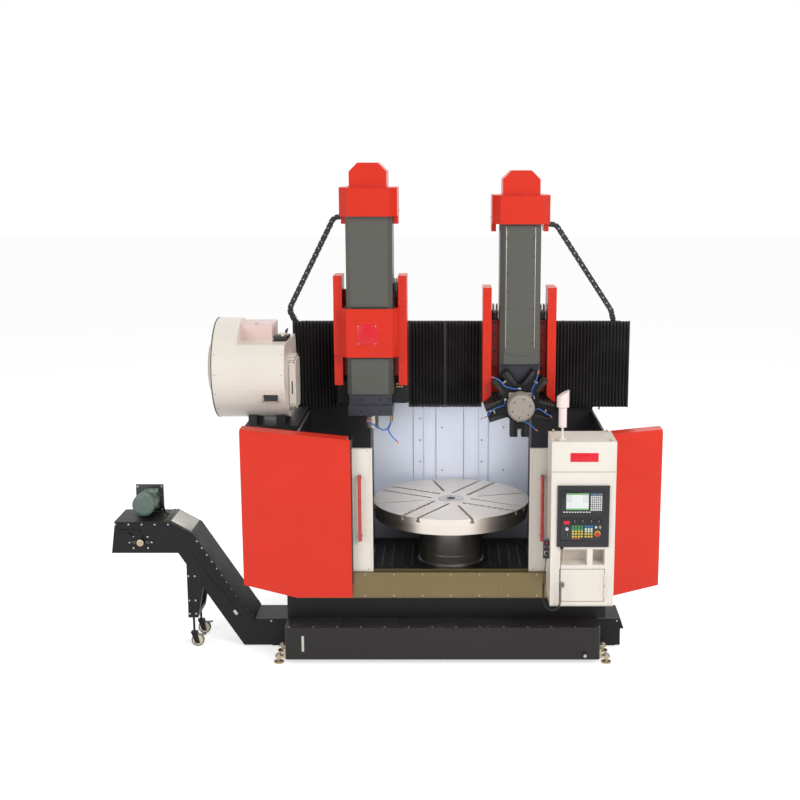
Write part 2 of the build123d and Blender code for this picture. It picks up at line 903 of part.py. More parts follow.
def make_saddle(x, cheek_bottom_z, cheek_top_z, cheek_front_y, ram_w, ram_back_y, slant, prefix):
    """The dark slide on the rails, and the red cheeks and webs that stand on its front."""
    half = saddle_w / 2
    web_z = (cheek_bottom_z + cheek_slant, min(cheek_top_z, beam_top_z + 2 * cheek_slant))
    with BuildPart() as slide:
        block((x - half, x + half), (saddle_front_y, saddle_back_y), (saddle_bottom_z, beam_top_z))
        block(
            (x - ram_w / 2 - slide_foot_out, x + ram_w / 2 + slide_foot_out),
            (ram_back_y + ram_gap, saddle_front_y),
            (saddle_bottom_z, cheek_bottom_z + cheek_slant),
        )
        foot_edges = slide.edges().filter_by(Axis.Y).group_by(Axis.Z)[0]
        chamfer(foot_edges, slide_foot_out)
    save(slide.part, prefix + "_slide")
    with BuildPart() as saddle:
        for side in (-1, 1):
            outer = x + side * half
            inner = outer - side * cheek_t
            front_plate(
                [
                    (outer, cheek_bottom_z),
                    (outer, cheek_top_z),
                    (inner, cheek_top_z),
                    (inner, cheek_bottom_z + slant),
                ],
                cheek_front_y,
                saddle_front_y,
            )
            block(
                (inner, x + side * (ram_w / 2 + ram_gap)),
                (saddle_front_y - saddle_plate_t, saddle_front_y),
                web_z,
            )
        block(
            (x - half + cheek_t, x + half - cheek_t),
            (ram_back_y + ram_gap, saddle_front_y),
            web_z,
        )
    save(saddle.part, prefix + "_saddle")


make_saddle(
    left_x,
    left_cheek_bottom_z,
    left_cheek_top_z,
    left_cheek_front_y,
    left_ram_w,
    left_ram_back_y,
    0,
    "left",
)
make_saddle(
    right_x,
    right_cheek_bottom_z,
    right_cheek_top_z,
    right_cheek_front_y,
    right_ram_w,
    right_ram_back_y,
    cheek_slant,
    "right",
)

# Red clamp cover round the front of the left ram
clamp_inner_half = left_ram_w / 2 + ram_gap
clamp_half = saddle_w / 2 - cheek_t - ram_gap
clamp_front_y = left_ram_front_y - ram_gap - clamp_wall
with BuildPart() as left_clamp:
    plan_plate(
        [
            (left_x - clamp_half, left_cheek_front_y),
            (left_x - clamp_half, clamp_front_y + clamp_bevel),
            (left_x - clamp_half + clamp_bevel, clamp_front_y),
            (left_x + clamp_half - clamp_bevel, clamp_front_y),
            (left_x + clamp_half, clamp_front_y + clamp_bevel),
            (left_x + clamp_half, left_cheek_front_y),
        ],
        left_clamp_bottom_z,
        left_clamp_top_z,
    )
    block(
        (left_x - saddle_w / 2, left_x + saddle_w / 2),
        (left_cheek_front_y - foot_bracket_t, left_cheek_front_y),
        (left_clamp_bottom_z, left_clamp_top_z),
    )
    block(
        (left_x - clamp_inner_half, left_x + clamp_inner_half),
        (left_ram_front_y - ram_gap, left_cheek_front_y + 1),
        (left_clamp_bottom_z - 1, left_clamp_top_z + 1),
        mode=Mode.SUBTRACT,
    )
save(left_clamp.part, "left_clamp")


# Rams: a square bar with chamfered corners
def ram_outline(x, width, front_y, back_y):
    half = width / 2
    return [
        (x - half + ram_chamfer, front_y),
        (x + half - ram_chamfer, front_y),
        (x + half, front_y + ram_chamfer),
        (x + half, back_y),
        (x - half, back_y),
        (x - half, front_y + ram_chamfer),
    ]


with BuildPart() as left_ram:
    plan_plate(
        ram_outline(left_x, left_ram_w, left_ram_front_y, left_ram_back_y),
        left_ram_bottom_z,
        left_ram_top_z,
    )
    for side in (-1, 1):
        block(
            (
                left_x + side * (left_ram_w / 2 - ram_groove_depth),
                left_x + side * (left_ram_w / 2 + 1),
            ),
            (left_ram_back_y - 2 * ram_groove_w, left_ram_back_y - ram_groove_w),
            (left_ram_bottom_z, left_ram_top_z),
            mode=Mode.SUBTRACT,
        )
save(left_ram.part, "left_ram")

with BuildPart() as right_ram:
    plan_plate(
        ram_outline(right_x, right_ram_w, right_ram_front_y, right_ram_back_y),
        right_ram_bottom_z,
        right_ram_top_z,
    )
    panel_half = ram_panel_w / 2
    panel_top_z = right_ram_top_z - cover_overlap - ram_gap
    panel_low_z = right_ram_bottom_z + ram_panel_w / 4
    front_plate(
        [
            (right_x - panel_half, panel_low_z + ram_chamfer),
            (right_x, panel_low_z),
            (right_x + panel_half, panel_low_z + ram_chamfer),
            (right_x + panel_half, panel_top_z),
            (right_x - panel_half, panel_top_z),
        ],
        right_ram_front_y - ram_panel_t,
        right_ram_front_y,
    )
save(right_ram.part, "right_ram")


# Red covers over the ram drives, with a narrower cap on top
def make_cover(x, ram_front_y, ram_top_z, chain_side, name):
    low_z = ram_top_z
    high_z = ram_top_z + cover_h - cover_overlap
    front_y = ram_front_y - cover_front_gap
    half = cover_w / 2
    cap_half = cap_w / 2
    with BuildPart() as cover:
        plan_plate(
            [
                (x - half + cover_chamfer, front_y),
                (x + half - cover_chamfer, front_y),
                (x + half, front_y + cover_chamfer),
                (x + half, cover_back_y),
                (x - half, cover_back_y),
                (x - half, front_y + cover_chamfer),
            ],
            low_z,
            high_z,
        )
        front_plate(
            [
                (x - cap_half, high_z),
                (x - cap_half, high_z + cap_h - cap_chamfer),
                (x - cap_half + cap_chamfer, high_z + cap_h),
                (x + cap_half - cap_chamfer, high_z + cap_h),
                (x + cap_half, high_z + cap_h - cap_chamfer),
                (x + cap_half, high_z),
            ],
            cap_front_y,
            cap_back_y,
        )
        for side in (-1, 1):
            block(
                (x + side * (half - cover_wall), x + side * half),
                (0, cover_back_y),
                (low_z - cover_skirt_h, low_z),
            )
        block(
            (x + chain_side * (half - chain_bracket_t), x + chain_side * half),
            (cover_back_y, chain_y + chain_w / 2),
            (low_z - cover_skirt_h, low_z + chain_w),
        )
    save(cover.part, name)


make_cover(left_x, left_ram_front_y, left_ram_top_z, -1, "left_ram_cover")
make_cover(right_x, right_ram_front_y, right_ram_top_z, 1, "right_ram_cover")

# Spindle head under the left ram, and the turning nose
neck_bottom_z = left_ram_bottom_z - spindle_neck_h
block_bottom_z = neck_bottom_z - spindle_block_h
left_mid_y = (left_ram_front_y + left_ram_back_y) / 2
neck_half = spindle_neck_w / 2
block_half = spindle_block_w / 2
nose_shank_top_z = block_bottom_z + nose_shank_len
with BuildPart() as spindle_head:
    block(
        (left_x - neck_half, left_x + neck_half),
        (left_ram_front_y + ram_chamfer / 2, left_ram_back_y - ram_chamfer / 2),
        (neck_bottom_z, left_ram_bottom_z),
    )
    block(
        (left_x - block_half, left_x + block_half),
        (left_ram_front_y, left_ram_back_y),
        (block_bottom_z, neck_bottom_z),
    )
    with BuildSketch(Plane.XY.offset(block_bottom_z)):
        with Locations((left_x, left_mid_y)):
            Circle(nose_shank_r + shaft_clearance)
    extrude(amount=nose_shank_len + seat_gap, mode=Mode.SUBTRACT)
save(spindle_head.part, "spindle_head")

# Two bent coolant pipes on the right of the spindle block
pipe_x = left_x + block_half
pipe_y = left_ram_front_y + ram_chamfer
pipe_z = (block_bottom_z + neck_bottom_z) / 2
with BuildPart() as spindle_hoses:
    for reach, drop, seat_y in ((hose_out, nose_len, 0), (-2 * hose_out, nose_shank_len, 3 * hose_out)):
        with BuildLine():
            pipe = Polyline(
                (pipe_x, pipe_y + seat_y, pipe_z),
                (pipe_x + hose_out, pipe_y + seat_y, pipe_z),
                (pipe_x + hose_out, pipe_y + seat_y, pipe_z - hose_out),
                (pipe_x + hose_out / 2 + reach / 2, pipe_y + seat_y - hose_out, pipe_z - drop),
            )
        with BuildSketch(Plane(origin=pipe @ 0, z_dir=pipe % 0)):
            RegularPolygon(hose_r, 6)
        sweep(path=pipe, transition=Transition.RIGHT)
save(spindle_hoses.part, "spindle_hoses")

nose_top_z = block_bottom_z - hub_gap
nose_bottom_z = block_bottom_z - nose_len
with BuildPart() as spindle_nose:
    with BuildSketch(Plane.XY.offset(nose_bottom_z)):
        with Locations((left_x, left_mid_y)):
            Circle(nose_r)
    extrude(amount=nose_top_z - nose_bottom_z)
    with BuildSketch(Plane.XY.offset(nose_top_z)):
        with Locations((left_x, left_mid_y)):
            Circle(nose_shank_r)
    extrude(amount=nose_shank_top_z - nose_top_z)
    with BuildSketch(Plane.XY.offset(nose_bottom_z)):
        with Locations((left_x, left_mid_y)):
            Circle(nose_bore_r)
    extrude(amount=nose_bore_len, mode=Mode.SUBTRACT)
save(spindle_nose.part, "spindle_nose")

# Turret base under the right ram, with the fixed pin that carries the disc and the motor
turret_front_y = turret_back_y - turret_disc_t
turret_motor_back_y = turret_front_y - turret_disc_gap
with BuildPart() as turret_base:
    base_half = turret_base_w / 2
    front_plate(
        [
            (right_x - base_half, right_ram_bottom_z),
            (right_x + base_half, right_ram_bottom_z),
            (right_x + base_half, turret_z),
            (right_x + base_half / 2, turret_z - turret_base_bottom),
            (right_x - base_half / 2, turret_z - turret_base_bottom),
            (right_x - base_half, turret_z),
        ],
        turret_back_y + turret_disc_gap,
        right_ram_back_y,
    )
    with BuildSketch(front_plane(turret_back_y + turret_disc_gap)):
        with Locations((right_x, turret_z)):
            Circle(turret_pin_r)
    extrude(amount=turret_disc_t + 2 * turret_disc_gap)
save(turret_base.part, "turret_base")

with BuildPart() as turret_disc:
    with BuildSketch(front_plane(turret_back_y)):
        with Locations((right_x, turret_z)):
            Circle(turret_disc_r)
            with PolarLocations(arm_len / 2, arm_count, start_angle=-90):
                Rectangle(arm_len, arm_w)
            with PolarLocations(arm_len - arm_slot_depth / 2, arm_count, start_angle=-90):
                Rectangle(arm_slot_depth, arm_slot_w, mode=Mode.SUBTRACT)
            for step in range(arm_step_count):
                with PolarLocations(arm_len - arm_step_pitch * (step + 0.5), arm_count, start_angle=-90):
                    for side in (-1, 1):
                        with Locations((0, side * (arm_w - arm_step_depth) / 2)):
                            Rectangle(arm_step_w, arm_step_depth, mode=Mode.SUBTRACT)
            Circle(turret_pin_r + shaft_clearance, mode=Mode.SUBTRACT)
    extrude(amount=turret_disc_t)
save(turret_disc.part, "turret_disc")

# A bent coolant pipe beside each tool holder, from its seat on the disc to its nozzle
with BuildPart() as turret_hoses:
    for index in range(arm_count):
        turn = radians(360 / arm_count * index - 90)

        def on_arm(outward, sideways, forward):
            """A point given along the arm, across it and in front of the disc."""
            return (
                right_x + outward * cos(turn) - sideways * sin(turn),
                turret_front_y - forward,
                turret_z + outward * sin(turn) + sideways * cos(turn),
            )

        with BuildLine():
            pipe = Polyline(
                on_arm(hose_seat_r, hose_side, 0),
                on_arm(hose_seat_r, hose_side, hose_out / 2),
                on_arm(hose_seat_r + hose_out, hose_side - hose_out, hose_out),
                on_arm(arm_len - hose_out, hose_side, hose_out),
                on_arm(hose_reach, hose_side - hose_out, hose_out / 2),
            )
        with BuildSketch(Plane(origin=pipe @ 0, z_dir=pipe % 0)):
            RegularPolygon(hose_r, 6)
        sweep(path=pipe, transition=Transition.RIGHT)
save(turret_hoses.part, "turret_hoses")

with BuildPart() as turret_motor:
    with BuildSketch(front_plane(turret_motor_back_y)):
        with Locations((right_x, turret_z)):
            RegularPolygon(turret_flange_w / 2, 8, major_radius=False, rotation=22.5)
    extrude(amount=turret_flange_t)
    motor_back = front_plane(turret_motor_back_y - turret_flange_t)
    prism(motor_back, right_x, turret_z, turret_motor_r, 48, turret_motor_len)
    chamfer(turret_motor.faces().sort_by(Axis.Y)[0].edges(), turret_flange_t / 2)
save(turret_motor.part, "turret_motor")


# Way covers: one folded strip for each stretch of rail
def make_bellows(x_low, x_high, name):
    """A zigzag outline in plan, extruded to the full height of the cover."""
    span = x_high - x_low
    fold_count = max(2, round(span / bellows_pitch))
    pitch = span / fold_count
    points = [(x_low, bellows_back_y - rail_t)]
    for index in range(fold_count):
        points.append((x_low + pitch * index, bellows_front_y + bellows_fold))
        points.append((x_low + pitch * (index + 0.5), bellows_front_y))
    points.append((x_high, bellows_front_y + bellows_fold))
    points.append((x_high, bellows_back_y - rail_t))
    with BuildPart() as bellows:
        plan_plate(points, bellows_bottom_z, bellows_top_z)
    save(bellows.part, name)


left_edge = left_x - saddle_w / 2
left_inner_edge = left_x + saddle_w / 2
right_inner_edge = right_x - saddle_w / 2
right_edge = right_x + saddle_w / 2
middle_x = (left_inner_edge + right_inner_edge) / 2
make_bellows(beam_left_x + sheet_t, left_edge - bellows_gap, "bellows_left_outer")
make_bellows(left_inner_edge + bellows_gap, middle_x, "bellows_left_inner")
make_bellows(middle_x, right_inner_edge - bellows_gap, "bellows_right_inner")
make_bellows(right_edge + bellows_gap, beam_right_x - sheet_t, "bellows_right_outer")


# Cable chains from the ends of the crossbeam up to the brackets behind the ram covers
def make_chain(side, foot_x, knee_x, cover_x, end_z, name):
    points = [
        (foot_x, chain_y, beam_top_z + bellows_gap),
        (foot_x, chain_y, beam_top_z + chain_h),
        (knee_x, chain_y, beam_top_z + chain_knee_h),
        (cover_x + side * chain_run, chain_y, end_z),
        (cover_x + side * bellows_gap, chain_y, end_z),
    ]
    with BuildPart() as chain:
        with BuildLine():
            path = FilletPolyline(*points, radius=chain_bend_r)
        with BuildSketch(Plane(origin=path @ 0, x_dir=(0, 1, 0), z_dir=path % 0)):
            Rectangle(chain_w - 2 * chain_step, chain_h - 2 * chain_step)
        sweep(path=path)
        link_count = int((path.length - chain_h) / chain_pitch)
        for index in range(link_count):
            at = (chain_h / 2 + chain_pitch * (index + 0.5)) / path.length
            with Locations(Plane(origin=path @ at, x_dir=(0, 1, 0), z_dir=path % at)):
                Box(chain_w, chain_h, chain_link_len)
    save(chain.part, name)


make_chain(
    -1,
    beam_left_x + chain_foot_in,
    beam_left_x - chain_left_bulge,
    left_x - cover_w / 2,
    left_ram_top_z - chain_drop,
    "left_chain",
)
make_chain(
    1,
    beam_right_x - chain_right_foot_in,
    beam_right_x - chain_right_foot_in - chain_w / 2,
    right_x + cover_w / 2,
    right_ram_top_z - chain_drop,
    "right_chain",
)


# Sliding doors: a framed leaf with a window and a bar handle
def make_door(side, prefix):
    lead_x = side * door_open_x
    tail_x = lead_x + side * door_w
    low_z = sill_top_z + seat_gap
    high_z = low_z + door_h
    front_y = door_y - door_t / 2
    back_y = door_y + door_t / 2
    window_x = lead_x + side * (window_edge + window_w / 2)
    window_z = (low_z + high_z) / 2
    with BuildPart() as door:
        block((lead_x, tail_x), (front_y, back_y), (low_z, high_z))
        block(
            (lead_x, tail_x),
            (door_y - track_w / 2 - door_guide_gap, door_y + track_w / 2 + door_guide_gap),
            (low_z, low_z + track_h + door_guide_gap),
            mode=Mode.SUBTRACT,
        )
        block(
            (window_x - window_w / 2, window_x + window_w / 2),
            (front_y, back_y),
            (window_z - window_h / 2, window_z + window_h / 2),
            mode=Mode.SUBTRACT,
        )
    save(door.part, prefix + "_door")
    with BuildPart() as window:
        block(
            (window_x - window_w / 2, window_x + window_w / 2),
            (door_y - window_t / 2, door_y + window_t / 2),
            (window_z - window_h / 2, window_z + window_h / 2),
        )
    save(window.part, prefix + "_window")
    handle_x = lead_x + side * handle_edge
    handle_y = front_y - handle_out
    end_z = handle_h / 2
    with BuildPart() as handle:
        prism(Plane.XY.offset(handle_z - end_z), handle_x, handle_y, handle_r, 12, handle_h)
        for post_z in (handle_z - end_z + handle_post_in, handle_z + end_z - handle_post_in):
            prism(front_plane(front_y), handle_x, post_z, handle_post_r, 6, handle_out)
    save(handle.part, prefix + "_handle")


make_door(-1, "left")
make_door(1, "right")

def add_hinge_half(side, base_z, axis_x, axis_y):
    """A hinge barrel and the leaf that joins it to the panel on one side of its axis."""
    prism(Plane.XY.offset(base_z), axis_x, axis_y, hinge_r, 8, hinge_len)
    block(
        (axis_x + side * (hinge_r / 2), axis_x + side * (hinge_r / 2 + hinge_leaf_w)),
        (cabinet_front_y - hinge_leaf_t, cabinet_front_y),
        (base_z, base_z + hinge_len),
    )


# Control cabinet with its console, niches, service door, lamp and pendant
cabinet_back_y = wing_front_y
cabinet_mid_x = (cabinet_left_x + cabinet_right_x) / 2
door_hinge_x = cabinet_mid_x + cabinet_door_w / 2
hinge_y = cabinet_front_y - hinge_r - seat_gap
hinge_zs = (
    cabinet_door_z - cabinet_door_h / 2 + hinge_leaf_w,
    cabinet_door_z + cabinet_door_h / 2 - hinge_leaf_w - 2 * hinge_len,
)
with BuildPart() as cabinet:
    block(
        (cabinet_left_x, cabinet_right_x),
        (cabinet_front_y, cabinet_back_y),
        (cabinet_bottom_z, cabinet_top_z),
    )
    block(
        (cabinet_mid_x - console_w / 2, cabinet_mid_x + console_w / 2),
        (cabinet_front_y, cabinet_front_y + console_recess),
        (console_bottom_z, console_bottom_z + console_h),
        mode=Mode.SUBTRACT,
    )
    niche_left_x = cabinet_mid_x - (niche_left_w + niche_gap + niche_right_w) / 2
    for niche_x, niche_w in (
        (niche_left_x, niche_left_w),
        (niche_left_x + niche_left_w + niche_gap, niche_right_w),
    ):
        block(
            (niche_x, niche_x + niche_w),
            (cabinet_front_y, cabinet_front_y + niche_depth),
            (niche_bottom_z, niche_bottom_z + niche_h),
            mode=Mode.SUBTRACT,
        )
    block(
        (
            cabinet_mid_x - cabinet_door_w / 2 - cabinet_door_gap,
            door_hinge_x + cabinet_door_gap,
        ),
        (cabinet_front_y, cabinet_front_y + cabinet_door_t + cabinet_door_gap),
        (
            cabinet_door_z - cabinet_door_h / 2 - cabinet_door_gap,
            cabinet_door_z + cabinet_door_h / 2 + cabinet_door_gap,
        ),
        mode=Mode.SUBTRACT,
    )
    for hinge_z in hinge_zs:
        add_hinge_half(1, hinge_z, door_hinge_x + cabinet_door_gap, hinge_y)
    prism(front_plane(cabinet_front_y), gland_x, gland_z, gland_r, 6, gland_len)
save(cabinet.part, "cabinet")

with BuildPart() as cabinet_door:
    block(
        (cabinet_mid_x - cabinet_door_w / 2, door_hinge_x),
        (cabinet_front_y, cabinet_front_y + cabinet_door_t),
        (cabinet_door_z - cabinet_door_h / 2, cabinet_door_z + cabinet_door_h / 2),
    )
    for hinge_z in hinge_zs:
        barrel_z = hinge_z + hinge_len + seat_gap
        add_hinge_half(-1, barrel_z, door_hinge_x + cabinet_door_gap, hinge_y)
save(cabinet_door.part, "cabinet_door")

with BuildPart() as console:
    block(
        (cabinet_mid_x - console_w / 2, cabinet_mid_x + console_w / 2),
        (cabinet_front_y + console_recess - console_t, cabinet_front_y + console_recess),
        (console_bottom_z, console_bottom_z + console_h),
    )
save(console.part, "console")

# Signal lamp: a pole, a round body and a wider hood with a slanted top
lamp_y = cabinet_front_y + lamp_back
lamp_body_z = cabinet_top_z + lamp_pole_h
lamp_hood_z = lamp_body_z + lamp_body_h - lamp_hood_h / 2
lamp_top_z = lamp_hood_z + lamp_hood_h
with BuildPart() as signal_lamp:
    prism(Plane.XY.offset(cabinet_top_z), lamp_x, lamp_y, lamp_pole_r, 8, lamp_pole_h)
    prism(Plane.XY.offset(lamp_body_z), lamp_x, lamp_y, lamp_r, 24, lamp_body_h)
    chamfer(signal_lamp.faces().filter_by(Axis.Z).group_by(Axis.Z)[1][0].outer_wire().edges(), lamp_neck)
    prism(Plane.XY.offset(lamp_hood_z), lamp_x, lamp_y, lamp_hood_r, 24, lamp_hood_h)
    front_plate(
        [
            (lamp_x - lamp_hood_r - 1, lamp_top_z - lamp_hood_slant),
            (lamp_x + lamp_hood_r + 1, lamp_top_z),
            (lamp_x + lamp_hood_r + 1, lamp_top_z + 1),
            (lamp_x - lamp_hood_r - 1, lamp_top_z + 1),
        ],
        lamp_y - 2 * lamp_hood_r,
        lamp_y + 2 * lamp_hood_r,
        mode=Mode.SUBTRACT,
    )
save(signal_lamp.part, "signal_lamp")

# Hand pendant on the cabinet's left side, and its cord from a gland on the cabinet's front
pendant_y = cabinet_front_y + pendant_back
with BuildPart() as pendant:
    block(
        (cabinet_left_x - pendant_t, cabinet_left_x),
        (pendant_y - pendant_w / 2, pendant_y + pendant_w / 2),
        (pendant_z - pendant_h / 2, pendant_z + pendant_h / 2),
    )
    chamfer(pendant.edges().filter_by(Axis.X), pendant_t / 4)
save(pendant.part, "pendant")

cord_start = (gland_x, cabinet_front_y - gland_len, gland_z)
cord_end = (cabinet_left_x - pendant_t / 2, pendant_y, pendant_z - pendant_h / 2)
upper_lead = [
    cord_start,
    (881.0, -1388.0, 1127.0),
    (880.5, -1406.0, 1108.0),
    (878.0, -1409.0, 1070.0),
    (871.0, -1408.0, 1005.0),
    (868.0, -1407.0, 940.0),
    (868.5, -1406.5, 885.0),
]
curl = [
    (868.5, -1406.5, 885.0),
    (871.0, -1406.0, 775.0),
    (870.0, -1405.0, 660.0),
    (832.5, -1387.4, 618.3),
    (779.5, -1362.6, 618.3),
    (742.0, -1345.0, 660.0),
    (741.0, -1330.0, 760.0),
    (744.0, -1300.0, 840.0),
]
lower_lead = [
    (744.0, -1300.0, 840.0),
    (746.0, -1281.0, 891.0),
    (759.0, -1245.0, 930.0),
    (769.0, -1212.0, 963.0),
    cord_end,
]


def bend_radii(points):
    """The largest arc that fits each corner of a route."""
    radii = []
    for before, here, after in zip(points, points[1:], points[2:]):
        into, out = Vector(*here) - Vector(*before), Vector(*after) - Vector(*here)
        half_turn = radians(into.get_angle(out)) / 2
        radii.append(0.45 * min(into.length, out.length) / tan(half_turn))
    print("cord bend radii", [round(radius) for radius in radii])
    return radii


def add_cord(points, diameter):
    """Sweeps a plain tube along a route with round corners."""
    with BuildLine():
        route = FilletPolyline(*points, radius=bend_radii(points))
    with BuildSketch(Plane(origin=route @ 0, z_dir=route % 0)) as section:
        RegularPolygon(diameter / 2, 6)
    sweep(section.sketch, path=route)


with BuildPart() as pendant_cord:
    add_cord(upper_lead, cord_d)
with BuildPart() as curl_tube:
    add_cord(curl, curl_d)
with BuildPart() as lower_tube:
    add_cord(lower_lead, cord_d)
cord_solids = Compound(children=[pendant_cord.part, curl_tube.part, lower_tube.part])
save(cord_solids, "pendant_cord")
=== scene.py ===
import json
import math

import bmesh
import bpy
from bpy.props import FloatProperty, FloatVectorProperty, IntProperty, PointerProperty
from mathutils import Matrix, Vector


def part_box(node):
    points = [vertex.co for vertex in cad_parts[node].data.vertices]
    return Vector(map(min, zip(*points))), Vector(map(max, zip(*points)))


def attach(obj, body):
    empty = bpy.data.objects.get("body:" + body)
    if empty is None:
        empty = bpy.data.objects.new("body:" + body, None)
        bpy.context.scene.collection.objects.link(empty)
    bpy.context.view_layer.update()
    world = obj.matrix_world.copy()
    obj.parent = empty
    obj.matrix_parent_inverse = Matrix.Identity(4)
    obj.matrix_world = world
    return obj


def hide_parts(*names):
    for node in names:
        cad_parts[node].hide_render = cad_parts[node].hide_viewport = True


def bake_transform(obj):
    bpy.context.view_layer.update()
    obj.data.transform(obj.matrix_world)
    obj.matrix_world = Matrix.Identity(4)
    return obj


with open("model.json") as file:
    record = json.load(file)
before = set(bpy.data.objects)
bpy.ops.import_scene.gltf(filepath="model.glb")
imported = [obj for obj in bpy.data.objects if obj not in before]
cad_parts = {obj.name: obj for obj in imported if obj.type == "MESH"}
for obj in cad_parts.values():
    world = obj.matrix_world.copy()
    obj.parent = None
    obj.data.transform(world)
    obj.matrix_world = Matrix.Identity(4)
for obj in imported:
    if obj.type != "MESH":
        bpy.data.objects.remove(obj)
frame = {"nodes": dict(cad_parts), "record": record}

bl_info = {
    "name": "Gantry Machining Center",
    "version": (1, 0, 0),
    "blender": (4, 5, 0),
    "location": "3D View > Sidebar > Gantry",
    "description": "Finishes and fine pieces of a gantry machining center with a rotary table",
    "category": "Object",
}


def linear(red, green, blue):
    """Turns a colour of 0 to 255, as a screen shows it, into the linear values that shaders use."""
    parts = []
    for part in (red, green, blue):
        share = part / 255
        parts.append(share / 12.92 if share <= 0.04045 else ((share + 0.055) / 1.055) ** 2.4)
    return tuple(parts)


def colour(name, description, *parts):
    return FloatVectorProperty(
        name=name, description=description, default=linear(*parts), size=3, subtype="COLOR", min=0, max=1
    )


def length(name, description, metres):
    return FloatProperty(name=name, description=description, default=metres, min=0, unit="LENGTH")


def share(name, description, value):
    return FloatProperty(name=name, description=description, default=value, min=0, max=1, subtype="FACTOR")


class GantryFinish(bpy.types.PropertyGroup):
    """Colours and wear of the machine's surfaces."""

    red: colour("Red", "Gloss paint of the wings, saddles and drive covers", 224, 42, 12)
    cream: colour("Cream", "Paint of the magazine, cabinet and doors", 236, 229, 218)
    beige: colour("Beige", "Paint of the magazine's end cap", 205, 196, 178)
    black: colour("Black", "Satin paint of the guards and the conveyor", 22, 22, 24)
    tank: colour("Tank", "Paint of the coolant tank", 38, 35, 35)
    casting: colour("Casting", "Paint of the columns and the crossbeam", 34, 34, 37)
    ram: colour("Ram", "Paint of the rams", 86, 87, 81)
    slate: colour("Slate", "Paint of the spindle head and turret base", 48, 49, 60)
    wall: colour("Back wall", "Pale sheets behind the table", 190, 196, 210)
    steel: colour("Steel", "Ground steel of the table", 232, 224, 214)
    sill: colour("Sill", "Brushed stainless steel of the sill", 128, 114, 84)
    bellows: colour("Bellows", "Coated cloth of the way covers", 24, 24, 26)
    chain: colour("Chain", "Moulded links of the cable chains", 34, 35, 40)
    wear: share("Wear", "Strength of the worn edges", 0.35)
    dust: share("Dust", "Strength of the dust on upward faces", 0.12)


class GantryStage(bpy.types.PropertyGroup):
    """Camera, floor and lamps."""

    focal: FloatProperty(
        name="Focal length", description="Camera lens for a sensor 36 mm wide", default=55.8, min=1,
        unit="CAMERA"
    )
    camera_back: length("Camera distance", "From the table's axis to the camera", 10.82)
    camera_height: length("Camera height", "From the floor to the camera", 4.15)
    camera_pitch: FloatProperty(
        name="Camera pitch", description="How far the camera looks down", default=math.radians(10.9),
        subtype="ANGLE"
    )
    camera_shift: FloatProperty(name="Camera shift", description="Sideways shift of the frame",
                                default=-0.06375)
    floor: colour("Floor", "Colour of the floor", 240, 240, 240)
    key: FloatProperty(name="Key lamp", description="Power of the main lamp", default=610, min=0,
                       unit="POWER")
    fill: FloatProperty(name="Fill lamp", description="Power of the soft lamp", default=215, min=0,
                        unit="POWER")
    work: FloatProperty(name="Work lamp", description="Power of the lamp under the beam", default=14, min=0,
                        unit="POWER")
    sky: FloatProperty(name="Sky", description="Strength of the light from all round", default=0.40, min=0)


# Nodes, and the shader groups that several finishes share

FLOAT, VECTOR, COLOUR = "NodeSocketFloat", "NodeSocketVector", "NodeSocketColor"


def feed(tree, socket, value):
    """Links a socket to another one, or gives it a number, a direction or a colour."""
    if isinstance(value, bpy.types.NodeSocket):
        tree.links.new(value, socket)
    elif socket.type == "RGBA" and len(value) == 3:
        socket.default_value = (*value, 1)
    else:
        socket.default_value = value


def add_node(tree, kind, inputs=(), **settings):
    """Adds a shader or geometry node, sets its own settings and then feeds its inputs."""
    node = tree.nodes.new(kind)
    for key, value in settings.items():
        setattr(node, key, value)
    for key, value in dict(inputs).items():
        feed(tree, node.inputs[key], value)
    return node


def new_group(name, kind, inputs, outputs):
    """An empty node group with its named sockets, and the nodes at its two ends."""
    group = bpy.data.node_groups.new(name, kind)
    for socket_name, socket_type, default in inputs:
        socket = group.interface.new_socket(name=socket_name, in_out="INPUT", socket_type=socket_type)
        if default is not None:
            socket.default_value = default
    for socket_name, socket_type in outputs:
        group.interface.new_socket(name=socket_name, in_out="OUTPUT", socket_type=socket_type)
    return group, group.nodes.new("NodeGroupInput"), group.nodes.new("NodeGroupOutput")


def maths(tree, operation, first, second, clamp=False):
    """A Math node on two sockets or numbers."""
    inputs = {0: first, 1: second}
    return add_node(tree, "ShaderNodeMath", inputs, operation=operation, use_clamp=clamp).outputs[0]


def plus(tree, first, second, clamp=False):
    return maths(tree, "ADD", first, second, clamp)


def minus(tree, first, second, clamp=False):
    return maths(tree, "SUBTRACT", first, second, clamp)


def times(tree, first, second, clamp=False):
    return maths(tree, "MULTIPLY", first, second, clamp)


def mix_colour(tree, share_of_second, first, second):
    inputs = {0: share_of_second, 6: first, 7: second}
    return add_node(tree, "ShaderNodeMix", inputs, data_type="RGBA").outputs[2]


def noise(tree, vector, scale, detail=3.0, roughness=0.55):
    inputs = {"Vector": vector, "Scale": scale, "Detail": detail, "Roughness": roughness}
    return add_node(tree, "ShaderNodeTexNoise", inputs).outputs["Fac"]


def parts_of(tree, vector):
    """The X, Y and Z sockets of a vector."""
    return add_node(tree, "ShaderNodeSeparateXYZ", {0: vector}).outputs


def vector_of(tree, **parts):
    """A vector of the given X, Y and Z. A part that isn't given is 0."""
    return add_node(tree, "ShaderNodeCombineXYZ", parts).outputs[0]


def face_normal(tree):
    return tree.nodes.new("ShaderNodeNewGeometry").outputs["Normal"]


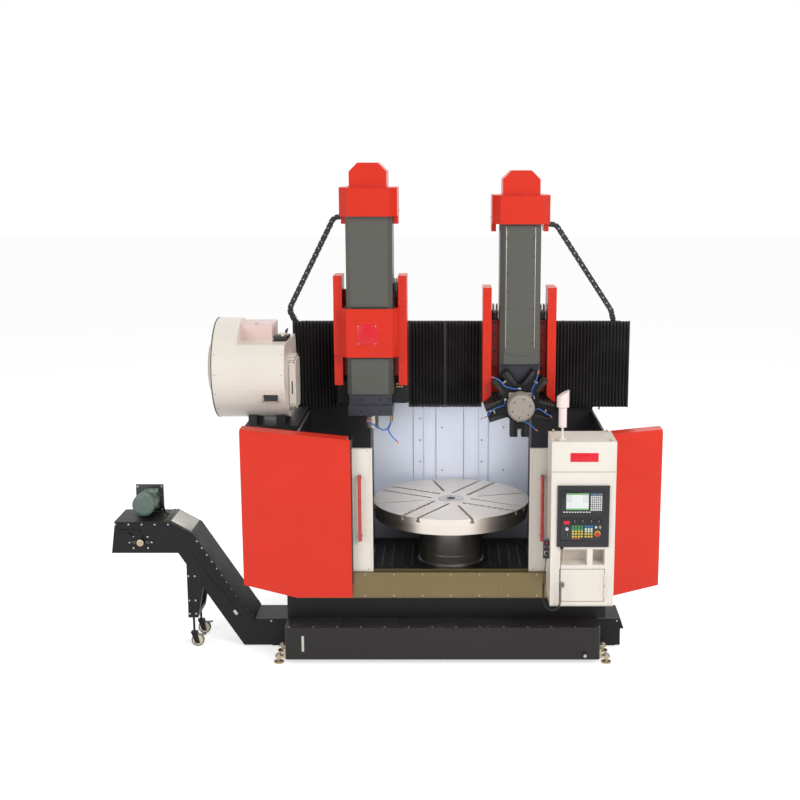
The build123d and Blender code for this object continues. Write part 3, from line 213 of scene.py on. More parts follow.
def soft_edge(tree, given):
    """Rounds sharp edges in the shading, and finds them as a mask."""
    bevel = add_node(tree, "ShaderNodeBevel", {"Radius": given["Radius"]}, samples=4).outputs[0]
    dot = add_node(tree, "ShaderNodeVectorMath", {0: bevel, 1: face_normal(tree)}, operation="DOT_PRODUCT")
    edge = minus(tree, 1.0, dot.outputs["Value"], clamp=True)
    return {"Mask": times(tree, edge, 5.0, clamp=True), "Normal": bevel}


def paint_skin(tree, given):
    """Faint clouds in the colour and the gloss, and the fine ripple of sprayed paint."""
    clouds = noise(tree, given["Vector"], 2.1, 4.0)
    smears = noise(tree, given["Vector"], 9.0, 5.0, 0.65)
    tone = times(tree, minus(tree, clouds, 0.5), given["Variation"])
    inputs = {"Value": plus(tree, tone, 1.0), "Color": given["Color"]}
    gloss = times(tree, minus(tree, smears, 0.5), 0.22)
    return {
        "Color": add_node(tree, "ShaderNodeHueSaturation", inputs).outputs[0],
        "Roughness": plus(tree, given["Roughness"], gloss, clamp=True),
        "Height": noise(tree, given["Vector"], 240.0, 2.0),
    }


def settled_dust(tree, given):
    """A mask that grows on faces that look up, broken by noise."""
    upward = minus(tree, parts_of(tree, face_normal(tree))["Z"], 0.35, clamp=True)
    patches = noise(tree, given["Vector"], 6.0, 6.0, 0.7)
    mask = times(tree, upward, plus(tree, patches, 0.2))
    return {"Mask": times(tree, mask, given["Amount"], clamp=True)}


def cast_grain(tree, given):
    """The pebbled skin of a painted casting."""
    inputs = {"Scale": 150.0, "Vector": given["Vector"]}
    pebbles = add_node(tree, "ShaderNodeTexVoronoi", inputs, feature="SMOOTH_F1")
    waves = noise(tree, given["Vector"], 14.0, 4.0)
    return {"Height": plus(tree, times(tree, pebbles.outputs["Distance"], 0.5), waves)}


def brushed_lines(tree, given):
    """Fine lines drawn out along one direction, for tone, gloss and bump."""
    inputs = {0: given["Vector"], 1: given["Stretch"]}
    drawn = add_node(tree, "ShaderNodeVectorMath", inputs, operation="MULTIPLY").outputs[0]
    return {"Marks": noise(tree, drawn, 1.0, 4.0, 0.7), "Stains": noise(tree, given["Vector"], 5.0, 4.0)}


def turned_rings(tree, given):
    """Rings round the upright axis, as a lathe tool leaves them."""
    parts = parts_of(tree, given["Vector"])
    flat = vector_of(tree, X=parts["X"], Y=parts["Y"])
    reach = add_node(tree, "ShaderNodeVectorMath", {0: flat}, operation="LENGTH").outputs["Value"]
    rings = vector_of(tree, X=times(tree, reach, 320.0), Z=times(tree, parts["Z"], 260.0))
    return {"Marks": noise(tree, rings, 1.0, 3.0, 0.7),
            "Stains": noise(tree, given["Vector"], 4.0, 5.0, 0.6)}


PLACE = ("Vector", VECTOR, None)
MARKS = [("Marks", FLOAT), ("Stains", FLOAT)]
SKIN = [("Color", COLOUR, (0.5, 0.5, 0.5, 1)), ("Roughness", FLOAT, 0.35), ("Variation", FLOAT, 0.2)]
# Each shader group's inputs, its outputs and the function that builds it
SHADER_GROUPS = {
    "soft edge": ([("Radius", FLOAT, 0.004)], [("Mask", FLOAT), ("Normal", VECTOR)], soft_edge),
    "paint skin": ([PLACE, *SKIN], [("Color", COLOUR), ("Roughness", FLOAT), ("Height", FLOAT)], paint_skin),
    "settled dust": ([PLACE, ("Amount", FLOAT, 0.1)], [("Mask", FLOAT)], settled_dust),
    "cast grain": ([PLACE], [("Height", FLOAT)], cast_grain),
    "brushed lines": ([PLACE, ("Stretch", VECTOR, (4, 300, 300))], MARKS, brushed_lines),
    "turned rings": ([PLACE], MARKS, turned_rings),
}


def place_group(tree, name, values):
    """Places a shared shader group, which is built the first time, and gives its outputs."""
    group = bpy.data.node_groups.get(name)
    if not group:
        inputs, outputs, build = SHADER_GROUPS[name]
        group, start, end = new_group(name, "ShaderNodeTree", inputs, outputs)
        for key, value in build(group, start.outputs).items():
            group.links.new(value, end.inputs[key])
    return add_node(tree, "ShaderNodeGroup", values, node_tree=group).outputs


# Finishes

MATERIALS = {}


def finish_of(slot):
    return MATERIALS[slot]


def new_material(name):
    """A node material with its shader and its object coordinates."""
    material = bpy.data.materials.new(name)
    material.use_nodes = True
    tree = material.node_tree
    place = tree.nodes.new("ShaderNodeTexCoord").outputs["Object"]
    MATERIALS[name] = material
    return tree, tree.nodes["Principled BSDF"], place


def dress(tree, shader, values):
    for key, value in values.items():
        feed(tree, shader.inputs[key], value)


def rounded(tree):
    """A normal that rounds off the edges of small pieces."""
    return place_group(tree, "soft edge", {"Radius": 0.002})["Normal"]


def bump(tree, height, strength, distance=0.001, **normal):
    inputs = {"Strength": strength, "Distance": distance, "Height": height, **normal}
    return add_node(tree, "ShaderNodeBump", inputs).outputs[0]


def painted(
    name, paint, roughness, worn_colour, wear, dust, coat=0.0, ripple=0.05, casting=False, shine=0.5
):
    """Paint on metal: clouds, spray ripple, rubbed edges and settled dust."""
    tree, shader, place = new_material(name)
    skin = place_group(tree, "paint skin", {
        "Color": paint, "Roughness": roughness, "Variation": 0.16, "Vector": place,
    })
    rim = place_group(tree, "soft edge", {"Radius": 0.004})
    scuffs = maths(tree, "GREATER_THAN", noise(tree, place, 26.0, 6.0, 0.7), 0.56)
    rubbed = times(tree, times(tree, rim["Mask"], scuffs), wear, clamp=True)
    veil = place_group(tree, "settled dust", {"Amount": dust, "Vector": place})["Mask"]
    worn = mix_colour(tree, rubbed, skin["Color"], worn_colour)
    height = place_group(tree, "cast grain", {"Vector": place})["Height"] if casting else skin["Height"]
    strength, distance = (ripple * 6, 0.002) if casting else (ripple, 0.001)
    dress(tree, shader, {
        "Base Color": mix_colour(tree, veil, worn, (0.42, 0.40, 0.37)),
        "Roughness": plus(tree, skin["Roughness"], times(tree, veil, 0.8), clamp=True),
        "Normal": bump(tree, height, strength, distance, Normal=rim["Normal"]),
        "Specular IOR Level": shine, "Coat Weight": coat, "Coat Roughness": 0.12,
    })


def marked_steel(name, metal, roughness, marks, amount, dark, rough, depth, metallic):
    """Steel with tool marks and faint stains, both of them darker than the metal."""
    tree, shader, place = new_material(name)
    group, values = marks
    lines = place_group(tree, group, {**values, "Vector": place})
    tone = plus(tree, times(tree, lines["Stains"], amount), times(tree, lines["Marks"], amount))
    dress(tree, shader, {
        "Base Color": mix_colour(tree, tone, metal, tuple(part * dark for part in metal)),
        "Roughness": plus(tree, times(tree, lines["Marks"], rough), roughness - 0.1, clamp=True),
        "Normal": bump(tree, lines["Marks"], depth, Normal=rounded(tree)), "Metallic": metallic,
    })


def bare_steel(name, metal, roughness, stretch):
    """Brushed or ground steel with lines along one direction."""
    lines = ("brushed lines", {"Stretch": stretch})
    marked_steel(name, metal, roughness, lines, 0.35, 0.55, 0.25, 0.12, 1.0)


def turned_steel(name, metal, roughness):
    """Table and pedestal: turned rings, faint stains and rounded edges."""
    marked_steel(name, metal, roughness, ("turned rings", {}), 0.30, 0.6, 0.2, 0.16, 0.9)


def moulded(name, plastic, roughness=0.45, grain=0.12):
    """Moulded plastic or rubber with a fine matt grain."""
    tree, shader, place = new_material(name)
    skin = place_group(tree, "paint skin", {
        "Color": plastic, "Roughness": roughness, "Variation": 0.12, "Vector": place,
    })
    dress(tree, shader, {
        "Base Color": skin["Color"], "Roughness": skin["Roughness"],
        "Normal": bump(tree, skin["Height"], grain, Normal=rounded(tree)),
    })


def coated_cloth(name, cloth):
    """The way covers' cloth: a fine weave under a dull coating, paler where it is rubbed."""
    tree, shader, place = new_material(name)
    inputs = {"Scale": 140.0, "Distortion": 0.6, "Vector": place}
    weave = add_node(tree, "ShaderNodeTexWave", inputs, bands_direction="Z").outputs["Fac"]
    smears = noise(tree, place, 5.0, 5.0, 0.65)
    rubbed = times(tree, minus(tree, smears, 0.42, clamp=True), 1.1)
    dress(tree, shader, {
        "Base Color": mix_colour(tree, rubbed, cloth, tuple(part * 3.4 + 0.01 for part in cloth)),
        "Roughness": plus(tree, times(tree, smears, 0.3), 0.42),
        "Normal": bump(tree, weave, 0.12, 0.0008),
    })


def clear_sheet(name, tint):
    """Window sheet with faint smears."""
    tree, shader, place = new_material(name)
    smears = noise(tree, place, 7.0, 5.0, 0.65)
    dress(tree, shader, {
        "Roughness": times(tree, smears, 0.16), "Base Color": tint, "Transmission Weight": 0.92, "IOR": 1.2,
    })


def lit(name, glow, strength):
    """A lit screen or lamp, with faint lines."""
    tree, shader, place = new_material(name)
    inputs = {"Scale": 180.0, "Vector": place}
    lines = add_node(tree, "ShaderNodeTexWave", inputs, bands_direction="Z").outputs["Fac"]
    tone = mix_colour(tree, lines, glow, tuple(part * 0.86 for part in glow))
    dress(tree, shader, {
        "Base Color": tone, "Emission Color": tone, "Emission Strength": strength, "Roughness": 0.2,
    })


# Paints: colour, roughness, share of the dust, shine, and whether the metal under it is a raw casting
BRIGHT = (0.55, 0.53, 0.50)
PAINTS = {
    "black_sheet": ("black", 0.42, 0.3, 0.25, False),
    "dark_paint": ("tank", 0.42, 0.5, 0.3, False),
    "casting": ("casting", 0.45, 1, 0.3, True),
    "grey_paint": ("ram", 0.36, 1, 0.5, False),
    "slate_paint": ("slate", 0.38, 1, 0.5, False),
    "pale_guard": ("wall", 0.32, 0.3, 0.5, False),
    "motor_green": ((92, 112, 102), 0.4, 1, 0.5, True),
    "motor_grey": ((172, 164, 154), 0.42, 1, 0.5, True),
    "console_grey": ((40, 40, 43), 0.45, 0.3, 0.35, False),
}
# Plates and trims in a colour of their own: colour, roughness, worn colour and dust. guard_pink is a pale
# sheet whose pink is a painted reflection of the nearby red paint
TRIMS = {
    "plate_crimson": ((226, 6, 36), 0.28, (0.3, 0.03, 0.02), 0.0),
    "edge_red": ((214, 44, 32), 0.3, (0.3, 0.03, 0.02), 0.0),
    # Pale sheet whose pink tint is a painted reflection of the red paint near it
    "guard_pink": ((232, 206, 200), 0.34, (0.5, 0.45, 0.42), 0.05),
}
# Bare metal: colour, roughness and how far its lines are drawn out on each axis
METALS = {
    "zinc": ((190, 176, 150), 0.42, (90, 90, 90)),
    "screw_black": ((70, 70, 72), 0.42, (120, 120, 120)),
    "screw_bright": ((198, 194, 186), 0.36, (120, 120, 120)),
    "brass": ((206, 170, 96), 0.3, (120, 120, 120)),
    "chip_belt": ((150, 148, 144), 0.42, (200, 8, 200)),
}
# Plastic and rubber: colour, roughness and depth of the grain
PLASTICS = {
    "black_plastic": ((22, 22, 24), 0.42, 0.12),
    "black_rubber": ((20, 20, 21), 0.55, 0.12),
    "handle_red": ((200, 62, 60), 0.28, 0.04),
    "lamp_plastic": ((246, 226, 222), 0.3, 0.04),
    "hose_blue": ((40, 106, 190), 0.4, 0.05),
    "castor_wheel": ((222, 212, 188), 0.4, 0.06),
    "orange_tip": ((232, 110, 34), 0.35, 0.04),
    "key_grey": ((120, 122, 126), 0.5, 0.05),
    "key_white": ((222, 222, 220), 0.5, 0.05),
    "key_yellow": ((226, 192, 66), 0.45, 0.05),
    "key_red": ((206, 40, 36), 0.4, 0.05),
    "key_green": ((60, 158, 88), 0.4, 0.05),
    "stud_blue": ((176, 206, 226), 0.4, 0.05),
    "screen_dark": ((24, 28, 34), 0.18, 0.02),
    "clear_gauge": ((206, 214, 196), 0.2, 0.02),
}
# Lit parts of the screen: colour and strength
LIGHTS = {"screen_page": ((206, 210, 208), 0.4), "screen_green": ((96, 160, 92), 0.5)}


def make_finishes(finish):
    """Every named finish, keyed by the record's material slot or by the small piece's own name."""
    wear, dust = finish.wear, finish.dust
    painted("red_paint", finish.red, 0.32, (0.30, 0.03, 0.02), wear, dust * 0.4, 0.1, 0.03, shine=0.35)
    painted("cream_paint", finish.cream, 0.34, (0.45, 0.40, 0.32), wear, dust * 0.4, 0.15, 0.03)
    painted("beige_paint", finish.beige, 0.36, (0.40, 0.35, 0.27), wear, dust * 0.4)
    for name, (paint, roughness, dust_share, shine, casting) in PAINTS.items():
        paint = getattr(finish, paint) if isinstance(paint, str) else linear(*paint)
        painted(name, paint, roughness, BRIGHT, wear, dust * dust_share, casting=casting, shine=shine)
    for name, (paint, roughness, worn_colour, dust_amount) in TRIMS.items():
        painted(name, linear(*paint), roughness, worn_colour, wear * 0.5, dust_amount)
    for name, (metal, roughness, stretch) in METALS.items():
        bare_steel(name, linear(*metal), roughness, stretch)
    for name, (plastic, roughness, grain) in PLASTICS.items():
        moulded(name, linear(*plastic), roughness, grain)
    for name, (glow, strength) in LIGHTS.items():
        lit(name, linear(*glow), strength)
    turned_steel("table_steel", finish.steel, 0.36)
    turned_steel("ground_steel", linear(205, 200, 192), 0.32)
    bare_steel("stainless", finish.sill, 0.36, (3, 3, 260))
    coated_cloth("bellows", finish.bellows)
    moulded("chain_plastic", finish.chain, 0.42)
    clear_sheet("window_glass", (0.86, 0.92, 0.93))


# Making meshes


def finish_faces(faces, finish):
    for face in faces:
        face.material_index = finish


def faces_at(made):
    """The faces that meet the corners of a form that Blender has just made."""
    return {face for vertex in made["verts"] for face in vertex.link_faces}


def round_edges(mesh, edges, width):
    if width:
        bmesh.ops.bevel(mesh, geom=list(edges), offset=width, segments=2, affect="EDGES", profile=0.5)


def add_box(mesh, x, y, z, finish=0, bevel=0.0):
    """Adds a block between the two ends given on each axis, with rounded edges if asked."""
    middle = Vector([(low + high) / 2 for low, high in (x, y, z)])
    size = Vector([abs(high - low) for low, high in (x, y, z)])
    made = bmesh.ops.create_cube(mesh, size=1.0, matrix=Matrix.LocRotScale(middle, None, size))
    finish_faces(faces_at(made), finish)
    round_edges(mesh, {edge for vertex in made["verts"] for edge in vertex.link_edges}, bevel)


def add_rod(mesh, start, end, radius, sides, finish, tip):
    """Adds a round bar between two points. The far end's radius is the share tip of the near one's."""
    turn = (end - start).to_track_quat("Z", "Y")
    made = bmesh.ops.create_cone(
        mesh, cap_ends=True, segments=sides, radius1=radius, radius2=radius * tip,
        depth=(end - start).length, matrix=Matrix.LocRotScale((start + end) / 2, turn, None),
    )
    finish_faces(faces_at(made), finish)


def circle(count, start=0.0):
    """Evenly spaced angles round a circle."""
    return [start + 2 * math.pi * step / count for step in range(count)]


def add_rings(mesh, rings, finish):
    """Joins rings of points into a closed skin, flat at both ends."""
    rings = [[mesh.verts.new(point) for point in ring] for ring in rings]
    faces = [mesh.faces.new(list(reversed(rings[0]))), mesh.faces.new(rings[-1])]
    for low, high in zip(rings, rings[1:]):
        low, high = low + low[:1], high + high[:1]
        faces += [mesh.faces.new(corners) for corners in zip(low, low[1:], high[1:], high)]
    finish_faces(faces, finish)


def add_turned(mesh, origin, axis, profile, sides, finish):
    """Turns (radius, height) points round an axis that starts at origin. Both ends are closed."""
    tilt = Vector(axis).to_track_quat("Z", "Y")
    add_rings(mesh, [
        [origin + tilt @ Vector((radius * math.cos(turn), radius * math.sin(turn), height))
         for turn in circle(sides)]
        for radius, height in profile
    ], finish)


def add_outline(mesh, points, depth, finish, bevel):
    """Adds a plate: a closed outline of 3D points in one plane, pushed out by the vector depth."""
    low = [mesh.verts.new(point) for point in points]
    high = [mesh.verts.new(point + depth) for point in points]
    faces = [mesh.faces.new(low), mesh.faces.new(list(reversed(high)))]
    low, high = low + low[:1], high + high[:1]
    faces += [mesh.faces.new(corners) for corners in zip(low, high, high[1:], low[1:])]
    finish_faces(faces, finish)
    round_edges(mesh, {edge for face in faces for edge in face.edges}, bevel)


def smooth(data, angle=35):
    data.polygons.foreach_set("use_smooth", [True] * len(data.polygons))
    data.set_sharp_from_angle(angle=math.radians(angle))


def show(name, data, finishes, body=None):
    """Puts a mesh in the scene with its finishes, on the body that carries it."""
    for finish in finishes:
        data.materials.append(finish_of(finish))
    smooth(data)
    piece = bpy.data.objects.new(name, data)
    bpy.context.scene.collection.objects.link(piece)
    if body:
        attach(piece, body)
    return piece


def keep(mesh, name, finishes, body=None):
    """Turns a finished bmesh into a piece."""
    bmesh.ops.recalc_face_normals(mesh, faces=mesh.faces)
    data = bpy.data.meshes.new(name)
    mesh.to_mesh(data)
    mesh.free()
    return show(name, data, finishes, body)


# Geometry node trees for what repeats

SOCKETS = {float: FLOAT, int: "NodeSocketInt"}


def node_tree(name, values, build):
    """A tree with an input for each of the values. What it makes is real and has its finish."""
    found = bpy.data.node_groups.get(name)
    if found:
        return found
    numbers = [(key, SOCKETS[type(value)], value) for key, value in values.items()]
    sockets = [("Geometry", "NodeSocketGeometry", None), *numbers, ("Material", "NodeSocketMaterial", None)]
    tree, start, end = new_group(name, "GeometryNodeTree", sockets, [("Geometry", "NodeSocketGeometry")])
    real = add_node(tree, "GeometryNodeRealizeInstances", {0: build(tree, start.outputs)})
    inputs = {"Geometry": real.outputs[0], "Material": start.outputs["Material"]}
    tree.links.new(add_node(tree, "GeometryNodeSetMaterial", inputs).outputs[0], end.inputs[0])
    return tree


def plain_mesh(piece):
    """What an object's modifiers make of it, as a mesh of its own."""
    graph = bpy.context.evaluated_depsgraph_get()
    return bpy.data.meshes.new_from_object(piece.evaluated_get(graph), depsgraph=graph)


def run_tree(name, tree, points, values, finish, edges=(), facings=(), body=None):
    """Runs a node tree on points, and keeps what it makes as a plain mesh."""
    data = bpy.data.meshes.new(name + "_points")
    data.from_pydata([tuple(point) for point in points], edges, [])
    facing = data.attributes.new("facing", "FLOAT_VECTOR", "POINT")
    for item, direction in zip(facing.data, facings):
        item.vector = direction
    source = bpy.data.objects.new(name + "_source", data)
    bpy.context.scene.collection.objects.link(source)
    modifier = source.modifiers.new("tree", "NODES")
    modifier.node_group = tree
    given = {**values, "Material": finish_of(finish)}
    for item in tree.interface.items_tree:
        if item.in_out == "INPUT" and item.name in given:
            modifier[item.identifier] = given[item.name]
    made = plain_mesh(source)
    bpy.data.objects.remove(source)
    facing = made.attributes.get("facing")
    if facing:
        made.attributes.remove(facing)
    made.name = name
    made.materials.clear()
    return show(name, made, [finish], body)


def join(tree, forms):
    joined = tree.nodes.new("GeometryNodeJoinGeometry")
    for form in forms:
        tree.links.new(form, joined.inputs[0])
    return joined.outputs[0]


def facing_turn(tree, direction):
    """The turn that points a form's own Z axis along a direction."""
    return add_node(tree, "FunctionNodeAlignRotationToVector", {"Vector": direction}, axis="Z").outputs[0]


def copies(tree, points, form, turn):
    """A turned copy of a form on every point."""
    inputs = {"Points": points, "Instance": form, "Rotation": turn}
    return add_node(tree, "GeometryNodeInstanceOnPoints", inputs).outputs[0]


def build_fasteners(tree, given):
    """A washer and a hexagon head on every point, turned to face its way."""
    radius, height = given["Radius"], given["Height"]
    inputs = {"Vertices": 14, "Radius": radius, "Depth": times(tree, height, 0.6)}
    washer = add_node(tree, "GeometryNodeMeshCylinder", inputs)
    inputs = {"Vertices": 6, "Radius": times(tree, radius, 0.7), "Depth": times(tree, height, 2.0)}
    head = add_node(tree, "GeometryNodeMeshCylinder", inputs)
    screw = join(tree, [washer.outputs[0], head.outputs[0]])
    facing = add_node(tree, "GeometryNodeInputNamedAttribute", {"Name": "facing"}, data_type="FLOAT_VECTOR")
    return copies(tree, given["Geometry"], screw, facing_turn(tree, facing.outputs["Attribute"]))


def fasteners(name, places, body, radius=0.011, height=0.005, finish="screw_black"):
    """Hexagon screws at (point, facing) places."""
    values = {"Radius": radius, "Height": height}
    tree = node_tree("fasteners", values, build_fasteners)
    points, facings = zip(*places)
    return run_tree(name, tree, points, values, finish, facings=facings, body=body)


def along(start, end, count, facing):
    """Evenly spaced (point, facing) places on a line, its ends among them."""
    return [(start.lerp(end, step / (count - 1)), facing) for step in range(count)]


FRONT, BACK, LEFT, RIGHT, UP = (0, -1, 0), (0, 1, 0), (-1, 0, 0), (1, 0, 0), (0, 0, 1)


def build_chain_links(tree, given):
    """Links along a line: two side plates, a cross bar above and below, and a pin at each joint."""
    curve = add_node(tree, "GeometryNodeMeshToCurve", {0: given["Geometry"]}).outputs[0]
    inputs = {"Curve": curve, "Length": given["Pitch"]}
    points = add_node(tree, "GeometryNodeCurveToPoints", inputs, mode="LENGTH").outputs

    def size(name, share):
        return times(tree, given[name], share)

    def bar(width, height, pitch, sideways, upward):
        """A block. Its sizes and its place are shares of the link's own sizes."""
        sizes = vector_of(tree, X=size("Width", width), Y=size("Height", height), Z=size("Pitch", pitch))
        cube = add_node(tree, "GeometryNodeMeshCube", {"Size": sizes}).outputs[0]
        place = vector_of(tree, X=size("Width", sideways), Y=size("Height", upward))
        return add_node(tree, "GeometryNodeTransform", {"Geometry": cube, "Translation": place}).outputs[0]

    parts = []
    for side in (-0.5, 0.5):
        parts.append(bar(0.10, 1.0, 0.86, side * 0.9, 0))
        parts.append(bar(0.07, 0.74, 1.18, side * 0.74, 0))
        parts.append(bar(0.8, 0.12, 0.34, 0, side * 0.86))
    inputs = {"Vertices": 8, "Radius": size("Height", 0.16), "Depth": size("Width", 1.06)}
    pin = add_node(tree, "GeometryNodeMeshCylinder", inputs).outputs[0]
    joint = vector_of(tree, Z=size("Pitch", 0.5))
    inputs = {"Geometry": pin, "Rotation": (0, math.pi / 2, 0), "Translation": joint}
    parts.append(add_node(tree, "GeometryNodeTransform", inputs).outputs[0])
    inputs = {"Rotation": facing_turn(tree, points["Tangent"]), "Vector": (0, 1, 0)}
    turn = add_node(tree, "FunctionNodeAlignRotationToVector", inputs, axis="X", pivot_axis="Z").outputs[0]
    return copies(tree, points["Points"], join(tree, parts), turn)


def rounded_route(points, radius, steps=7):
    """A line through points whose corners are round."""
    points = [Vector(point) for point in points]
    route = [points[0]]
    for before, here, after in zip(points, points[1:], points[2:]):
        into, out = (here - before).normalized(), (after - here).normalized()
        half_turn = into.angle(out) / 2
        reach = min(radius * math.tan(half_turn), (here - before).length * 0.48,
                    (after - here).length * 0.48)
        first, last = here - into * reach, here + out * reach
        for step in range(steps + 1):
            done = step / steps
            route.append(first.lerp(here, done).lerp(here.lerp(last, done), done))
    route.append(points[-1])
    return route


def chain_piece(name, route, width, height, pitch):
    """Cable chain links along a route."""
    values = {"Pitch": pitch, "Width": width, "Height": height}
    tree = node_tree("chain links", values, build_chain_links)
    edges = [(step, step + 1) for step in range(len(route) - 1)]
    return run_tree(name, tree, route, values, "chain_plastic", edges=edges)


def build_folds(tree, given):
    """A cloth strip folded into upright pleats: a grid whose columns are moved forward and back."""
    inputs = {
        "Size X": given["Length"], "Size Y": given["Height"],
        "Vertices X": plus(tree, times(tree, given["Folds"], 6.0), 1.0), "Vertices Y": 15,
    }
    grid = add_node(tree, "GeometryNodeMeshGrid", inputs).outputs["Mesh"]
    place = tree.nodes.new("GeometryNodeInputPosition").outputs[0]
    from_end = plus(tree, maths(tree, "DIVIDE", parts_of(tree, place)["X"], given["Length"]), 0.5)
    wave = maths(tree, "PINGPONG", times(tree, from_end, given["Folds"]), 0.5)
    pleats = times(tree, maths(tree, "POWER", times(tree, wave, 2.0), 0.7), given["Depth"])
    slack = minus(tree, noise(tree, place, 3.0, 2.0, 0.5), 0.5)
    forward = plus(tree, pleats, times(tree, slack, given["Slack"]))
    inputs = {"Geometry": grid, "Offset": vector_of(tree, Z=forward)}
    folded = add_node(tree, "GeometryNodeSetPosition", inputs).outputs[0]
    upright = add_node(tree, "FunctionNodeEulerToRotation", {0: (math.pi / 2, 0, 0)}).outputs[0]
    return copies(tree, given["Geometry"], folded, upright)


# Pieces of the machine, one operator for each group


class GANTRY_OT_finish_nodes(bpy.types.Operator):
    """Give every solid piece of the machine its finish"""

    bl_idname = "gantry.finish_nodes"
    bl_label = "Finish the solid pieces"

    def execute(self, context):
        make_finishes(context.scene.gantry_finish)
        slots = {row["node"]: row["material_slot"] for row in frame["record"]["subparts"]}
        for node, piece in frame["nodes"].items():
            for place in piece.material_slots:
                place.material = finish_of(slots[node])
        return {"FINISHED"}


BELLOWS = (
    ("bellows_left_outer", "left_saddle", False),
    ("bellows_left_inner", "left_saddle", True),
    ("bellows_right_inner", "right_saddle", False),
    ("bellows_right_outer", "right_saddle", True),
)
FOLD_PITCH = 0.030
FOLD_DEPTH = 0.024


def make_way_cover(node):
    """A pleated cover between its fixed end and the saddle."""
    low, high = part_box(node)
    size, middle = high - low, (low + high) / 2
    middle.y = low.y + FOLD_DEPTH + 0.002
    folds = max(2, round(size.x / FOLD_PITCH))
    values = {"Length": size.x, "Height": size.z, "Depth": FOLD_DEPTH, "Folds": folds, "Slack": 0.004}
    cover = run_tree(node + "_folds", node_tree("folds", values, build_folds), [middle], values, "bellows")
    cloth = cover.modifiers.new("cloth", "SOLIDIFY")
    cloth.thickness = 0.002
    cloth.offset = 1.0
    solid = plain_mesh(cover)
    cover.modifiers.clear()
    cover.data = solid
    frames = bmesh.new()
    for x in (low.x + 0.004, high.x - 0.004):
        add_box(frames, (x - 0.004, x + 0.004), (low.y + 0.002, high.y), (low.z, high.z), 0, 0.001)
    depth = (middle.y + 0.002, middle.y + 0.006)
    add_box(frames, (low.x, high.x), depth, (low.z + 0.01, high.z - 0.01))
    backing = keep(frames, node + "_frames", ["black_plastic"])
    for piece in (cover, backing):
        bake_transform(piece)
    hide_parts(node)


class GANTRY_OT_way_covers(bpy.types.Operator):
    """Fold the four way covers in front of the crossbeam"""

    bl_idname = "gantry.way_covers"
    bl_label = "Way covers"

    def execute(self, context):
        for node, body, fixed_end_right in BELLOWS:
            make_way_cover(node)
        return {"FINISHED"}


class GANTRY_OT_stage(bpy.types.Operator):
    """Set the camera, the floor, the lamps and the light from all round"""

    bl_idname = "gantry.stage"
    bl_label = "Stage"

    def execute(self, context):
        scene = context.scene
        stage = scene.gantry_stage
        scene.view_settings.view_transform = "Standard"
        add_camera(scene, stage)
        make_floor(stage)
        make_sky(scene, stage.sky)
        add_lamp("key_lamp", (5.8, -9.0, 7.0), (0, -0.3, 1.9), 5.0, stage.key)
        add_lamp("fill_lamp", (-6.5, -8.0, 4.4), (0, -0.3, 1.8), 5.0, stage.fill)
        add_lamp("top_lamp", (0.6, 3.0, 8.2), (0, 0.2, 2.4), 5.0, stage.fill)
        add_lamp("work_lamp", (0.0, 0.16, 1.93), (0, 0.62, 0.9), 0.9, stage.work)
        return {"FINISHED"}


def add_camera(scene, stage):
    camera = bpy.data.objects.new("camera", bpy.data.cameras.new("camera"))
    camera.data.lens = stage.focal
    camera.data.sensor_width = 36
    camera.data.shift_x = stage.camera_shift
    camera.data.clip_end = 100
    camera.location = (0, -stage.camera_back, stage.camera_height)
    camera.rotation_euler = (math.pi / 2 - stage.camera_pitch, 0, 0)
    scene.collection.objects.link(camera)
    scene.camera = camera


def add_lamp(name, place, target, width, power):
    lamp = bpy.data.lights.new(name, "AREA")
    lamp.energy = power
    lamp.size = width
    holder = bpy.data.objects.new(name, lamp)
    holder.location = place
    holder.rotation_euler = (Vector(target) - Vector(place)).to_track_quat("-Z", "Y").to_euler()
    bpy.context.scene.collection.objects.link(holder)


def seen_directly(tree):
    """1 for what the camera, a mirror or a clear sheet shows, and 0 for light that falls on things."""
    path = tree.nodes.new("ShaderNodeLightPath")
    seen = maths(tree, "MAXIMUM", path.outputs["Is Camera Ray"], path.outputs["Is Glossy Ray"])
    return maths(tree, "MAXIMUM", seen, path.outputs["Is Transmission Ray"])


def make_floor(stage):
    mesh = bmesh.new()
    bmesh.ops.create_grid(mesh, x_segments=1, y_segments=1, size=60)
    data = bpy.data.meshes.new("floor")
    mesh.to_mesh(data)
    mesh.free()
    floor = bpy.data.objects.new("floor", data)
    bpy.context.scene.collection.objects.link(floor)
    tree, shader = new_material("floor")[:2]
    dress(tree, shader, {
        "Base Color": stage.floor, "Roughness": 0.9, "Specular IOR Level": 0.0, "Emission Color": (1, 1, 1),
        "Emission Strength": times(tree, seen_directly(tree), 0.62),
    })
    data.materials.append(finish_of("floor"))


def make_sky(scene, strength):
    world = bpy.data.worlds.new("sky")
    world.use_nodes = True
    tree = world.node_tree
    ground = tree.nodes["Background"]
    ground.inputs["Color"].default_value = (1, 1, 1, 1)
    seen = times(tree, seen_directly(tree), 1.0 - strength)
    feed(tree, ground.inputs["Strength"], plus(tree, seen, strength))
    scene.world = world


# Pieces made from rows of simple forms, in millimetres


def metres(*parts):
    return Vector(parts) / 1000


def add_tube(mesh, points, radius, finish, bend, sides=12):
    """Adds a bent pipe along a route with round corners."""
    route = rounded_route(points, bend)
    last = len(route) - 1
    side, rings = None, []
    for index, here in enumerate(route):
        ahead = (route[min(index + 1, last)] - route[max(index - 1, 0)]).normalized()
        side = ahead.orthogonal() if side is None else side - ahead * side.dot(ahead)
        side.normalize()
        up = ahead.cross(side)
        turns = circle(sides)
        rings.append([here + (side * math.cos(turn) + up * math.sin(turn)) * radius for turn in turns])
    add_rings(mesh, rings, finish)


